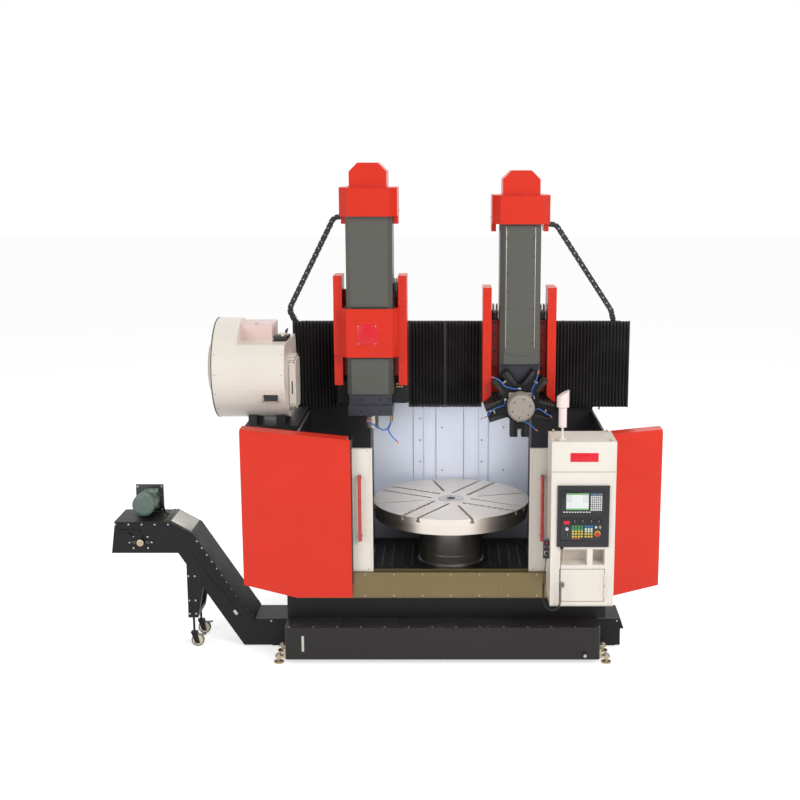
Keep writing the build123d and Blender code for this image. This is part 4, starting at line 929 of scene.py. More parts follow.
def assemble(name, finishes, body="frame", boxes=(), rods=(), turned=(), tubes=(), plates=()):
    """Makes one piece from rows of simple forms, in millimetres. Each row numbers one of its finishes.

    A block has its two ends on X, Y and Z, a finish and a bevel. A bar has two ends, a radius, a finish
    and the share of the radius left at its far end. A turned form has an origin, an axis, a line of
    (radius, height) points and a finish. A pipe has points, a radius, a finish and a bend radius. A plate
    has an outline, a depth and a finish.
    """
    mesh = bmesh.new()
    for x0, x1, y0, y1, z0, z1, finish, bevel in boxes:
        ends = [(low / 1000, high / 1000) for low, high in ((x0, x1), (y0, y1), (z0, z1))]
        add_box(mesh, *ends, finish, bevel / 1000)
    for start, end, radius, finish, tip in rods:
        add_rod(mesh, metres(*start), metres(*end), radius / 1000, 20, finish, tip)
    for origin, axis, profile, finish in turned:
        outline = [(radius / 1000, height / 1000) for radius, height in profile]
        add_turned(mesh, metres(*origin), axis, outline, 48, finish)
    for points, radius, finish, bend in tubes:
        add_tube(mesh, [metres(*point) for point in points], radius / 1000, finish, bend / 1000)
    for points, depth, finish in plates:
        add_outline(mesh, [metres(*point) for point in points], metres(*depth), finish, 0.001)
    return keep(mesh, name, finishes, body)


def places_of(points, facing):
    """(point, facing) places from points in millimetres."""
    return [(metres(*point), facing) for point in points]


def rows_of(xs, y, zs):
    """Places on a front face at every x and z."""
    return places_of([(x, y, z) for x in xs for z in zs], FRONT)


def ring_of(middle, radius, count, facing, start=0.0):
    """Places evenly round a circle, in millimetres. All face along its axis."""
    first, second = (axis for axis in range(3) if not facing[axis])
    places = []
    for turn in circle(count, start):
        point = Vector(middle)
        point[first] += radius * math.cos(turn)
        point[second] += radius * math.sin(turn)
        places.append((point / 1000, facing))
    return places


# Cable chains

CHAIN_Y = 395
CHAIN_SIZE = (0.062, 0.046, 0.053)
CHAIN_BEND = 0.10
CHAIN_FACE = Vector((0, -0.036, 0))
CHAINS = {
    "left_chain": ("left_saddle", "left_ram", [(-1403, 2650.3), (-1403, 2700), (-1471, 2825)],
                   [(-1047, 3660), (-953, 3660)]),
    "right_chain": ("right_saddle", "right_ram", [(1482, 2650.3), (1482, 2700), (1451, 2825)],
                    [(940, 3595), (846, 3595)]),
}


def make_chain(node, saddle, ram, foot, head):
    """Two lengths of chain, from the crossbeam to half way and on to the cover."""
    foot, head = ([metres(x, CHAIN_Y, z) for x, z in part] for part in (foot, head))
    middle = foot[-1].lerp(head[0], 0.5)
    ahead = (head[0] - foot[-1]).normalized() * CHAIN_SIZE[2] / 2
    lower = rounded_route([*foot, middle - ahead], CHAIN_BEND)
    upper = rounded_route([middle + ahead, *head], CHAIN_BEND)
    for part, route, first, second in (("lower", lower, "frame", saddle), ("upper", upper, saddle, ram)):
        links = chain_piece(f"{node}_{part}", route, *CHAIN_SIZE)
        studs = []
        for start, end in zip(route, route[1:]):
            count = round((end - start).length / CHAIN_SIZE[2])
            if count > 2:
                studs += along(start + CHAIN_FACE, end + CHAIN_FACE, count, FRONT)
        dots = fasteners(f"{node}_{part}_studs", studs, None, 0.007, 0.003, "stud_blue")
        for piece in (links, dots):
            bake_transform(piece)
        if part == "lower":
            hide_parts(node)


class GANTRY_OT_chains(bpy.types.Operator):
    """Lay the two cable chains, link by link"""

    bl_idname = "gantry.chains"
    bl_label = "Cable chains"

    def execute(self, context):
        for node, (saddle, ram, foot, head) in CHAINS.items():
            make_chain(node, saddle, ram, foot, head)
        return {"FINISHED"}


# Rams, saddles and covers


def build_left_ram():
    """Fine pieces of the left saddle, its ram, the spindle head and the spindle."""
    clamp = -204
    pins = [((x, clamp - 6, z), (x, clamp - 3, z), 5, 1, 1) for x in (-802, -650) for z in (2600, 2752)]
    assemble("left_clamp_plate", ["plate_crimson", "screw_bright"], "left_saddle",
             boxes=[(-812, -640, clamp - 4, clamp, 2590, 2762, 0, 1.5)], rods=pins)
    wipers = ((-866, -544, -196, -173), (-924, -908, -120, -62), (-502, -486, -120, -62))
    assemble("left_ram_wipers", ["black_rubber"], "left_saddle",
             boxes=[(*ends, z, z + 12, 0, 2) for z in (2901, 2466) for ends in wipers])
    assemble("left_saddle_webs", ["red_paint"], "left_saddle", boxes=[
        (-949, -908, 112, 200, 2770, 3040, 0, 3), (-502, -461, 112, 200, 2770, 3040, 0, 3)])
    assemble("left_saddle_fittings", ["black_plastic", "screw_bright", "brass"], "left_saddle",
             boxes=[(-500, -464, -50, 30, 3040, 3108, 0, 4), (-500, -464, 112, 190, 3040, 3090, 0, 4),
                    (-498, -426, 150, 189, 2150, 2204, 0, 3)],
             rods=[((x, 0, 3108), (x, 0, 3150), 8, 1, 0.8) for x in (-491, -473)]
             + [((x, 150, z), (x, 128, z), 9, 2, 0.8) for x in (-484, -462, -440) for z in (2164, 2190)],
             tubes=[([(-482, 112, 3060), (-482, 80, 3060), (-482, 80, 2980), (-482, 112, 2940)], 6, 1, 20)])
    cheeks = rows_of((-987, -423), -60, (2250, 2340, 2430, 2950, 3040, 3130))
    fasteners("left_cheek_screws", cheeks, "left_saddle", 0.009, 0.003, "edge_red")
    slide = rows_of((-1000, -410), 190, range(2040, 2640, 100))
    fasteners("left_slide_screws", slide, "left_saddle", 0.012, 0.005)
    head = rows_of((-870, -790, -620, -540), -170, (2000, 2100))
    fasteners("left_head_screws", head, "left_ram", 0.011, 0.004)
    assemble("spindle_head_joint", ["black_rubber", "screw_bright"], "left_ram",
             boxes=[(-860, -550, -172, -170, z, z + 4, 0, 0.5) for z in (2145, 2048)],
             turned=[((-705, 10, 1957), (0, 0, -1), [(118, 0), (118, 12), (104, 20), (74, 24)], 1)])
    ring = ring_of((-705, 10, 1935), 92, 8, (0, 0, -1))
    fasteners("spindle_flange_screws", ring, "left_ram", 0.010, 0.004)
    assemble("spindle_collar", ["screw_bright", "brass"], "spindle",
             turned=[((-705, 10, 1824), (0, 0, -1), [(58, 0), (58, 3), (52, 6), (40, 6), (36, 0)], 0),
                     ((-705, 10, 1868), UP, [(63, 0), (64, 2), (64, 10), (63, 12)], 0)],
             boxes=[(-713, -697, y - 9, y + 9, 1812, 1826, 1, 1) for y in (-34, 54)])
    hoses = [
        [(-527, -130, 1912), (-532, -130, 1880), (-548, -136, 1842), (-592, -150, 1822), (-649, -165, 1855),
         (-720, -182, 1908)],
        [(-523, -108, 1912), (-532, -108, 1885), (-557, -110, 1830), (-545, -112, 1797), (-516, -115, 1756),
         (-474, -118, 1714)],
    ]
    hose = assemble("spindle_hose_pipes", ["hose_blue", "orange_tip", "brass"], "left_ram",
                    tubes=[(points, 6.5, 0, 24) for points in hoses],
                    rods=[(points[-1], beyond(points[-2], points[-1], 22), 9, 1, 0.5) for points in hoses]
                    + [((x, y, 1960), (x, y, 1900), 11, 2, 1) for x, y in ((-527, -130), (-523, -108))])
    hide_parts("spindle_hoses")


def beyond(start, end, reach):
    """The point that far past the end of a line."""
    end = Vector(end)
    return end + (end - Vector(start)).normalized() * reach


def build_right_ram():
    """Fine pieces of the right saddle and its ram."""
    edges = [(x, x + 5, -171, -167, 2560, 3600, 0, 1) for x in (471, 720)]
    assemble("ram_panel_edges", ["screw_bright"], "right_ram", boxes=edges)
    panel = rows_of((486, 710), -168, range(2600, 3560, 150))
    fasteners("ram_panel_screws", panel, "right_ram", 0.006, 0.003)
    glands = [((x, y, 2848), (x, y, 2910), 8, 1, 0.9) for x in (374, 404, 792, 822) for y in (60, 150)]
    assemble("right_saddle_fittings", ["black_plastic", "screw_bright", "brass"], "right_saddle",
             boxes=[(x, x + 58, 116, 196, 2770, 2850, 0, 4) for x in (360, 778)]
             + [(x, x + 44, 20, 110, 2800, 2846, 0, 4) for x in (366, 786)], rods=glands)
    web = rows_of((388, 808), 110, (2190, 2340, 2490, 2640, 2740))
    fasteners("right_web_screws", web, "right_saddle", 0.010, 0.004)
    cheeks = rows_of((316, 880), -88, range(2180, 3040, 140))
    fasteners("right_cheek_screws", cheeks, "right_saddle", 0.009, 0.003, "edge_red")
    slide = rows_of((300, 896), 180, range(2040, 2640, 100))
    fasteners("right_slide_screws", slide, "right_saddle", 0.012, 0.005)


def build_covers():
    """Seams, rims and screws of the two drive covers."""
    for name, body, middle, front, low in (
        ("left_cover", "left_ram", -705, -240, 3690), ("right_cover", "right_ram", 598, -230, 3625),
    ):
        trim = [(middle - 175, middle + 175, front - 2, front + 1, low, low + 4, 0, 0.8),
                (middle - 175, middle + 175, front - 3, front + 1, low + 250, low + 256, 0, 1)]
        assemble(name + "_rims", ["edge_red"], body, boxes=trim)
        screws = rows_of((middle - 160, middle, middle + 160), front, (low + 22, low + 232))
        fasteners(name + "_screws", screws, body, 0.006, 0.002, "edge_red")
        sides = []
        for side in (-1, 1):
            sides += places_of([(middle + side * 248, y, low + 40) for y in (60, 150, 240)], (side, 0, 0))
        fasteners(name + "_side_screws", sides, body, 0.006, 0.002, "edge_red")


class GANTRY_OT_rams(bpy.types.Operator):
    """Fit the fine pieces of both saddles, rams and their covers"""

    bl_idname = "gantry.rams"
    bl_label = "Rams and saddles"

    def execute(self, context):
        build_left_ram()
        build_right_ram()
        build_covers()
        return {"FINISHED"}


# Turret

TURRET = (598, 2084)
TURRET_FACE = -242
# Each coolant pipe, from the motor's flange to its nozzle: sideways and upward from the turret's axis
TURRET_PIPES = (
    ((0, 131), (-68, 137), (-133, 158), (-171, 205), (-227, 235), (-252, 237)),
    ((122, 50), (96, 122), (133, 193), (152, 270), (161, 304)),
    ((-126, 38), (-138, -12), (-180, -22), (-231, -43), (-282, -107), (-310, -118)),
    ((88, -92), (120, -47), (163, -39), (265, -103), (278, -124)),
    ((-17, -150), (51, -157), (95, -185), (137, -225), (158, -240)),
)


def build_turret():
    """The clamps and screws of the five stations, the motor's face, and the coolant pipes."""
    x0, z0 = TURRET
    screws, blocks = [], []
    for turn in circle(5, -math.pi / 2):
        out, side = (math.cos(turn), math.sin(turn)), (-math.sin(turn), math.cos(turn))

        def spot(outward, sideways, raised=0):
            x = x0 + out[0] * outward + side[0] * sideways
            z = z0 + out[1] * outward + side[1] * sideways
            return (x, TURRET_FACE - raised, z)

        for outward in (168, 196, 224, 252, 280):
            screws += [spot(outward, -66, 9), spot(outward, -28), spot(outward, 28), spot(outward, 66, 9)]
        for low, high in ((-80, -46), (46, 80)):
            corners = [spot(150, low), spot(292, low), spot(292, high), spot(150, high)]
            blocks.append((corners, (0, -9, 0), 0))
        wedge = [spot(226, -17), spot(240, -17), spot(240, 17), spot(226, 17)]
        blocks.append((wedge, (0, -16, 0), 1))
    assemble("turret_clamps", ["black_plastic", "zinc"], "turret", plates=blocks)
    fasteners("turret_clamp_screws", places_of(screws, FRONT), "turret", 0.0055, 0.003)
    flange = (x0 - 98, x0 + 98, -277, -249, z0 - 98, z0 + 98, 0, 7)
    rings = [((x0, -489, z0), FRONT,
              [(100, -2), (100, 3), (90, 5), (88, 1), (72, 1), (71, 3), (60, 3), (59, 1), (30, 1), (29, 4),
               (12, 5), (11, 2), (3, 2)], 0),
             ((x0, -472, z0), BACK, [(114, 0), (115.5, 2), (115.5, 8), (114, 10)], 0)]
    lugs = [((x, -283, z), (x, -250, z), 15, 0, 1) for x in (x0 - 84, x0 + 84) for z in (z0 - 84, z0 + 84)]
    assemble("turret_motor_face", ["motor_grey"], "turret", boxes=[flange], turned=rings, rods=lugs)
    screws = ring_of((x0, -490, z0), 80, 6, FRONT, 0.3)
    screws += rows_of((x0 - 84, x0 + 84), -283, (z0 - 84, z0 + 84))
    fasteners("turret_motor_screws", screws, "turret", 0.0065, 0.003)
    pipes, tips, seats = [], [], []
    for route in TURRET_PIPES:
        depths = [-262] + [-290] * (len(route) - 2) + [-282]
        points = [(x0 + sideways, depth, z0 + upward) for (sideways, upward), depth in zip(route, depths)]
        pipes.append((points, 5.5, 0, 30))
        tips.append((points[-2], points[-1], 8, 1, 0.5))
        first, second = points[0], points[1]
        seats.append((first, tuple(0.75 * a + 0.25 * b for a, b in zip(first, second)), 9, 2, 1))
        seats.append(((first[0], -244, first[2]), (first[0], -266, first[2]), 10, 2, 1))
    pipe = assemble("turret_pipes", ["hose_blue", "orange_tip", "screw_bright"], "turret", tubes=pipes,
                    rods=tips + seats)
    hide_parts("turret_hoses")
    fasteners("turret_base_screws", rows_of((450, 746), -104, (2395,)), "right_ram", 0.010, 0.004)


class GANTRY_OT_turret(bpy.types.Operator):
    """Fit the turret's clamps, pipes and motor face"""

    bl_idname = "gantry.turret"
    bl_label = "Turret"

    def execute(self, context):
        build_turret()
        return {"FINISHED"}


# Magazine, doors, wings and guards


def build_magazine():
    """Fine pieces of the tool magazine: end rim, notch box, valve block, window and arm cover."""
    y0, z0 = -205, 2398
    assemble("magazine_rim", ["cream_paint", "black_rubber"],
             turned=[((-2012, y0, z0), (1, 0, 0), [(418, 0), (430, 3), (432, 8)], 0),
                     ((-2004, y0, z0), (1, 0, 0), [(433, 0), (433, 7)], 1)])
    assemble("magazine_cap_trim", ["beige_paint", "screw_black"],
             turned=[((-2071, y0, z0), (1, 0, 0), [(170, 0), (176, 5)], 0),
                     ((-2073, y0, z0), (1, 0, 0), [(40, 0), (44, 4)], 1)])
    cap = ring_of((-2066, y0, z0), 205, 8, LEFT, 0.2)
    fasteners("magazine_cap_screws", cap, "frame", 0.007, 0.003)
    rim = ring_of((-2012, y0, z0), 390, 16, LEFT, 0.1)
    fasteners("magazine_rim_screws", rim, "frame", 0.006, 0.002, "screw_bright")
    # The box lid's pale pink is a painted reflection of the nearby red paint
    assemble("magazine_box_lid", ["guard_pink", "beige_paint"], boxes=[
        (-1795, -1522, -352, 14, 2650, 2786, 0, 6), (-1672, -1640, -330, -300, 2786, 2802, 1, 4)])
    assemble("magazine_valves", ["black_plastic", "screw_bright", "cream_paint"],
             boxes=[(-1512, -1404, -330, -200, 2640, 2682, 0, 4),
                    (-1512, -1404, -180, -60, 2640, 2668, 0, 4)],
             rods=[((-1440, -300, 2682), (-1440, -300, 2712), 16, 2, 1),
                   ((-1480, -262, 2690), (-1400, -262, 2690), 13, 1, 1),
                   ((-1520, -340, 2655), (-1520, -340, 2672), 8, 1, 1)],
             tubes=[([(-1420, -240, 2680), (-1420, -240, 2722), (-1420, -110, 2722), (-1440, -110, 2666)],
                     7, 0, 30)])
    x1, x2, z1, z2 = -1574, -1454, 2162, 2224
    assemble("magazine_window", ["screen_dark", "beige_paint"],
             boxes=[(x1 + 2, x2 - 2, -566, -562, z1 + 2, z2 - 2, 0, 0)]
             + [(x1 - 10, x2 + 10, -594, -578, z, z + 8, 1, 1.5) for z in (z1 - 8, z2)]
             + [(x, x + 10, -596, -570, z1, z2, 1, 1.5) for x in (x1 - 10, x2)])
    assemble("magazine_arm_trim", ["black_rubber", "cream_paint", "beige_paint"],
             boxes=[(-1366, -1356, -357, -353, 2188, 2298, 0, 1),
                    (-1391, -1383, -364, -352, 2090, 2440, 1, 2),
                    (-1400, -1340, -330, -80, 2474, 2500, 1, 3),
                    (-1378, -1344, -357, -354, 2075, 2105, 2, 1)])
    fasteners("magazine_arm_screws", rows_of((-1380, -1342), -355, (2066, 2462)), "frame", 0.006, 0.003)
    seam = []
    for turn in (-1.2, -0.8, -0.4, 0.0, 0.4):
        out = Vector((0, -math.cos(turn), math.sin(turn)))
        seam += [(metres(x, y0, z0) + 0.431 * out, out) for x in (-1975, -1415)]
    fasteners("magazine_drum_screws", seam, "frame", 0.006, 0.002, "screw_bright")


def build_doors():
    """Window seals, lead seals, handle ends, folds and screws of both sliding doors."""
    for side, name in ((-1, "left"), (1, "right")):
        body = name + "_door"
        window = sorted((side * 915, side * 1335))
        strips = []
        for y in (-877, -829):
            strips += [(window[0] - 12, window[1] + 12, y, y + 6, z, z + 14, 0, 2) for z in (974, 1604)]
            strips += [(x, x + 14, y, y + 6, 974, 1618, 0, 2) for x in (window[0] - 12, window[1] - 2)]
        seal = sorted((side * 650, side * 645))
        strips.append((seal[0], seal[1], -870, -830, 775, 1818, 0, 1.5))
        assemble(name + "_door_seals", ["black_rubber"], body, boxes=strips)
        handle = side * 755
        ends = [((handle, -913, near), (handle, -913, far), 15.5, 1, 0.9)
                for near, far in ((1050, 1072), (1610, 1588))]
        feet = [((handle, -873, z), (handle, -884, z), 15, 1, 0.8) for z in (1084, 1576)]
        assemble(name + "_handle_ends", ["screw_black", "black_plastic"], body, rods=ends + feet)
        fold = (side * 668 - 4, side * 668 + 4, -875, -872, 790, 1806, 0, 1)
        assemble(name + "_door_folds", ["cream_paint"], body, boxes=[fold])
        screws = rows_of((side * 690, side * 840), -873, (790, 1806))
        fasteners(name + "_door_screws", screws, body, 0.006, 0.003, "screw_bright")


def build_wings():
    """Edge seals and screws of the red wings, and the bright edges and screws of the side guards."""
    for side, name in ((-1, "left"), (1, "right")):
        seal = (*sorted((side * 824, side * 818)), -949, -800, 690, 1900, 0, 1)
        assemble(name + "_wing_seal", ["black_rubber"], boxes=[seal])
        edge = (*sorted((side * 1285, side * 1303)), -780, 346, 1900, 1908, 0, 2)
        assemble(name + "_guard_edge", ["screw_bright"], boxes=[edge])
        screws = rows_of([side * x for x in range(860, 1241, 95)], -950, (700, 1860))
        fasteners(name + "_wing_screws", screws, "frame", 0.006, 0.002, "edge_red")
        outside = [(side * 1300, y, z) for y in (-640, -310, 20, 290) for z in (640, 1100, 1500, 1860)]
        fasteners(name + "_guard_screws", places_of(outside, (side, 0, 0)), "frame", 0.008, 0.003)


class GANTRY_OT_enclosure(bpy.types.Operator):
    """Fit the fine pieces of the magazine, doors, wings and guards"""

    bl_idname = "gantry.enclosure"
    bl_label = "Magazine, doors and guards"

    def execute(self, context):
        build_magazine()
        build_doors()
        build_wings()
        return {"FINISHED"}


# Work area, tank and conveyor


def build_work_area():
    """Fine pieces of the back wall, the floor, the pedestal, the sill, the chip belt and the table."""
    wall = 733
    seams = [(x - 1.5, x + 1.5, wall - 1, wall + 1, 600, 1960, 0, 0.3) for x in (-359, -144, 120, 355)]
    assemble("wall_seams", ["black_rubber"], boxes=seams)
    bolts = rows_of((-293, 293), wall, range(700, 1950, 209)) + rows_of((-86, 500), wall, (820, 1241, 1660))
    fasteners("wall_bolts", bolts, "frame", 0.007, 0.003)
    ribs = []
    for x in range(-792, 793, 88):
        front = -262 if abs(x) > 300 else math.sqrt(300**2 - x**2)
        ribs.append((x - 4, x + 4, front, 330, 612, 620, 0, 2))
    assemble("floor_ribs", ["zinc"], boxes=ribs)
    assemble("pedestal_rings", ["ground_steel"], turned=[
        ((0, 0, 612), UP, [(300, 0), (300, 8), (288, 14)], 0),
        ((0, 0, 700), UP, [(286.5, 0), (287.5, 4), (286.5, 8)], 0)])
    fasteners("pedestal_bolts", ring_of((0, 0, 620), 292, 24, UP), "frame", 0.006, 0.003)
    belt = [metres(x, -442, 205) for x in range(-1560, 1420, 76)]
    run_plates("chip_belt_plates", belt, (0.070, 0.310, 0.004), 0.018, "chip_belt")
    chute = [(x - 2, x + 2, -598, -328, 255, 598, 0, 0) for x in (-852, 852)]
    chute.append((-850, 850, -330, -326, 255, 598, 0, 0))
    assemble("chip_chute", ["black_sheet"], boxes=chute)
    sill = rows_of(range(-1200, 1201, 240), -900, (566, 752))
    fasteners("sill_screws", sill, "frame", 0.006, 0.002, "screw_bright")
    assemble("sill_folds", ["stainless"], boxes=[
        (-1290, 1290, -903, -899, 548, 552, 0, 1), (-1290, 1290, -903, -899, 764, 770, 0, 1),
        (-402, -398, -901, -899, 556, 762, 0, 0.5), (398, 402, -901, -899, 556, 762, 0, 0.5)])
    assemble("table_centre", ["ground_steel", "screw_black"], "table",
             turned=[((0, 0, 1164), UP, [(118, 0), (118, 2.2), (112, 3), (64, 3), (62, 2), (40, 2)], 0)],
             rods=[((0, 0, 1166), (0, 0, 1167.4), 38, 1, 1)])


def build_plates(tree, given):
    """A flat plate with a raised back edge on every point."""
    size_x, size_y, size_z, rise = (given[label] for label in ("Size X", "Size Y", "Size Z", "Rise"))
    sizes = vector_of(tree, X=size_x, Y=size_y, Z=size_z)
    flat = add_node(tree, "GeometryNodeMeshCube", {"Size": sizes}).outputs[0]
    sizes = vector_of(tree, X=size_z, Y=size_y, Z=rise)
    edge = add_node(tree, "GeometryNodeMeshCube", {"Size": sizes}).outputs[0]
    lift = vector_of(tree, X=times(tree, size_x, 0.45), Z=times(tree, rise, 0.5))
    raised = add_node(tree, "GeometryNodeTransform", {"Geometry": edge, "Translation": lift}).outputs[0]
    return copies(tree, given["Geometry"], join(tree, [flat, raised]), (0, 0, 0))


def run_plates(name, points, size, rise, finish):
    """Belt plates of one size, repeated at every point."""
    values = {"Size X": size[0], "Size Y": size[1], "Size Z": size[2], "Rise": rise}
    tree = node_tree("belt plates", values, build_plates)
    return run_tree(name, tree, points, values, finish, body="frame")


def build_tank():
    """Bolts, lids, drain and level gauge of the coolant tank, and the nuts of the machine's feet."""
    top = [(x, y, 332) for x in range(-1350, 1240, 199) for y in (-1012, -680)]
    fasteners("tank_bolts", places_of(top, UP), "frame", 0.008, 0.004, "screw_bright")
    lids = range(-1120, 801, 480)
    assemble("tank_lids", ["dark_paint", "screw_black"],
             boxes=[(x - 200, x + 200, -1004, -690, 332, 336, 0, 1.5) for x in lids]
             + [(x - 60, x + 60, -1000, -985, 336, 340, 1, 1) for x in lids]
             + [(-1388, 1246, -1033, -1029, 318, 332, 0, 1)])
    assemble("tank_trim", ["screw_black", "clear_gauge", "screw_bright"],
             rods=[((1120, -1030, 92), (1120, -1046, 92), 22, 0, 1),
                   ((1120, -1046, 92), (1120, -1060, 92), 14, 2, 1)],
             boxes=[(-1250, -1226, -1034, -1029, 120, 260, 1, 2),
                    (-1256, -1220, -1032, -1029, 112, 268, 0, 1)])
    assemble("foot_nuts", ["screw_bright"], rods=[
        ((x, y, 66), (x, y, 78), 22, 0, 1) for x in (-1450, 1308) for y in (-968, -724)])


def build_conveyor():
    """Fine pieces of the chip conveyor: flange bolts, covers, motor, bearing and castors."""
    for name, y, facing in (("front", -612, FRONT), ("back", -242, BACK)):
        bolts = along(metres(-2178, y, 952), metres(-1726, y, 282), 12, facing)
        bolts += along(metres(-2870, y, 1100), metres(-2420, y, 1100), 5, facing)
        if name == "front":
            bolts += along(metres(-1560, y, 232), metres(1440, y, 232), 16, facing)
        fasteners(f"conveyor_{name}_bolts", bolts, "frame", 0.008, 0.004, "screw_bright")
    knee = [(-2392, 1129), (-2222, 1034), (-2222, 1038), (-2392, 1133)]
    straps = [[(x, 1131), (x + 26, 1131), (x + 26, 1137), (x, 1137)] for x in (-2452, -2420)]
    assemble("conveyor_covers", ["zinc", "screw_bright", "black_plastic"],
             plates=[([(x, -604, z) for x, z in knee], (0, 354, 0), 1)]
             + [([(x, -606, z) for x, z in strap], (0, 358, 0), 2) for strap in straps]
             + [([(-1890, -614, 322), (-1862, -614, 284), (-1842, -614, 300), (-1870, -614, 338)],
                 (0, -3, 0), 1)])
    assemble("conveyor_ribs", ["black_sheet"], tubes=[
        ([(-2290, y, 900), (-2230, y, 850), (-2010, y, 520)], 4, 0, 10) for y in (-613, -241)]
        + [([(-2010, y, 560), (-1800, y, 250)], 4, 0, 10) for y in (-613, -241)])
    bolts = rows_of((-2753, -2563), -624, (945,)) + rows_of((-2720, -2596), -624, (895, 995))
    fasteners("bearing_bolts", bolts, "frame", 0.008, 0.004, "screw_bright")
    assemble("bearing_hub", ["zinc", "screw_black"],
             turned=[((-2658, -640, 945), FRONT, [(30, 0), (30, 4), (22, 8), (12, 8), (10, 12)], 0)],
             boxes=[(-2734, -2700, -626, -622, 936, 954, 1, 1), (-2616, -2582, -626, -622, 936, 954, 1, 1)])
    build_conveyor_motor()
    tyre = [(44, 0), (54, 3), (55.5, 8), (55.5, 26), (54, 31), (44, 34)]
    hub = [(15, 0), (18, 3), (18, 37), (15, 40)]
    wheels = (-592, -292)
    assemble("castor_wheels", ["castor_wheel", "zinc", "black_plastic"],
             turned=[((-2205, y - 17, 56), BACK, tyre, 0) for y in wheels]
             + [((-2205, y - 20, 56), BACK, hub, 1) for y in wheels],
             boxes=[(-2175, -2131, y - 14, y + 14, 100, 108, 2, 2) for y in wheels],
             rods=[((-2235, y, 142), (-2235, y, 232), 9, 1, 1) for y in wheels])
    leg = rows_of((-2262, -2208), -618, (300, 420, 640))
    fasteners("leg_bolts", leg, "frame", 0.008, 0.004, "screw_bright")


def build_conveyor_motor():
    """The motor's cooling ribs, end cover, terminal box and cable, and the plate that carries it."""
    low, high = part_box("conveyor_motor")
    x0, z0 = -2636, round((low.z + high.z) * 500)
    ribs = []
    for turn in circle(30):
        start = (x0 + 92 * math.cos(turn), -512, z0 + 92 * math.sin(turn))
        ribs.append((start, (start[0], -330, start[2]), 3.2, 0, 1))
    cover = [(60, -6), (84, -4), (94, 4), (97, 16), (97, 58), (94, 62)]
    cable = [(x0 + 92, -430, z0 + 70), (x0 + 118, -430, z0 + 70), (x0 + 130, -420, z0 - 20),
             (x0 + 150, -400, z0 - 110), (x0 + 190, -400, z0 - 122)]
    assemble("drive_motor_details", ["motor_green", "screw_black", "black_plastic"],
             rods=ribs + [((x0 + 60, -420, z0 + 96), (x0 + 60, -390, z0 + 96), 9, 1, 1)],
             turned=[((x0, -566, z0), (0, 1, 0), cover, 0),
                     ((x0, -571, z0), BACK, [(34, 0), (40, 3)], 0)],
             boxes=[(x0 + 20, x0 + 92, -480, -360, z0 + 50, z0 + 100, 0, 5),
                    (x0 - 80, x0 + 80, -340, -318, z0 - 88, z0 - 60, 0, 3),
                    (x0 + 100, x0 + 124, -340, -312, z0 + 6, z0 + 34, 2, 3),
                    (x0 - 118, x0 + 118, -317, -314, z0 - 118, z0 + 118, 1, 1)],
             tubes=[(cable, 8, 2, 40)])
    plate = rows_of((x0 - 104, x0 + 104), -317, (z0 - 104, z0 + 104))
    fasteners("drive_plate_bolts", plate, "frame", 0.009, 0.005, "screw_bright")


class GANTRY_OT_base(bpy.types.Operator):
    """Fit the fine pieces of the work area, tank and conveyor"""

    bl_idname = "gantry.base"
    bl_label = "Work area, tank and conveyor"

    def execute(self, context):
        build_work_area()
        build_tank()
        build_conveyor()
        return {"FINISHED"}


# Console, cabinet, pendant and its cord

CONSOLE_FACE = -1368
CABINET_FACE = -1350


def pads(xs, zs, width, height, finish, rise=5, face=CONSOLE_FACE):
    """Rows for raised pads or keys on an upright face, one at every x and z."""
    side, up, front = width / 2, height / 2, face - rise
    return [(x - side, x + side, front, face + 1, z - up, z + up, finish, 0.8) for x in xs for z in zs]


def border(x0, x1, z0, z1, width, finish, rise=6, face=CONSOLE_FACE):
    """Rows for a raised frame round a rectangle on an upright face."""
    middle_x, middle_z = (x0 + x1) / 2, (z0 + z1) / 2
    return [*pads((middle_x,), (z0, z1), x1 - x0 + width, width, finish, rise, face),
            *pads((x0, x1), (middle_z,), width, z1 - z0 - width, finish, rise, face)]


def build_screen():
    """The screen, its keypad and its soft keys, in their own frame."""
    rows = pads((1042,), (1509,), 340, 178, 0, 2) + border(872, 1212, 1418, 1600, 5, 1)
    rows += pads((997.5,), (1514.5,), 191, 149, 1, 4) + pads((997.5,), (1514.5,), 179, 137, 2, 5)
    rows += pads((997.5,), (1576, 1452), 179, 12, 3, 5.6) + pads((932, 1063), (1540,), 40, 60, 4, 5.4)
    rows += pads((875.5,), (1504.5,), 13, 165, 0, 4)
    assemble("console_screen", ["screen_dark", "black_plastic", "screen_page", "screen_green", "key_white"],
             boxes=rows)
    columns = [1108 + 15.5 * step for step in range(6)]
    lines = [1447 + 17.9 * step for step in range(8)]
    soft = [893 + 22.4 * step for step in range(10)]
    keys = pads(columns, lines[:7], 12, 13.5, 0) + pads(columns[:4], lines[7:], 12, 13.5, 1)
    keys += pads(columns[4:], lines[7:], 12, 13.5, 2) + pads(soft, (1428,), 15, 9, 0)
    assemble("console_keys", ["key_white", "hose_blue", "key_grey"], boxes=keys)


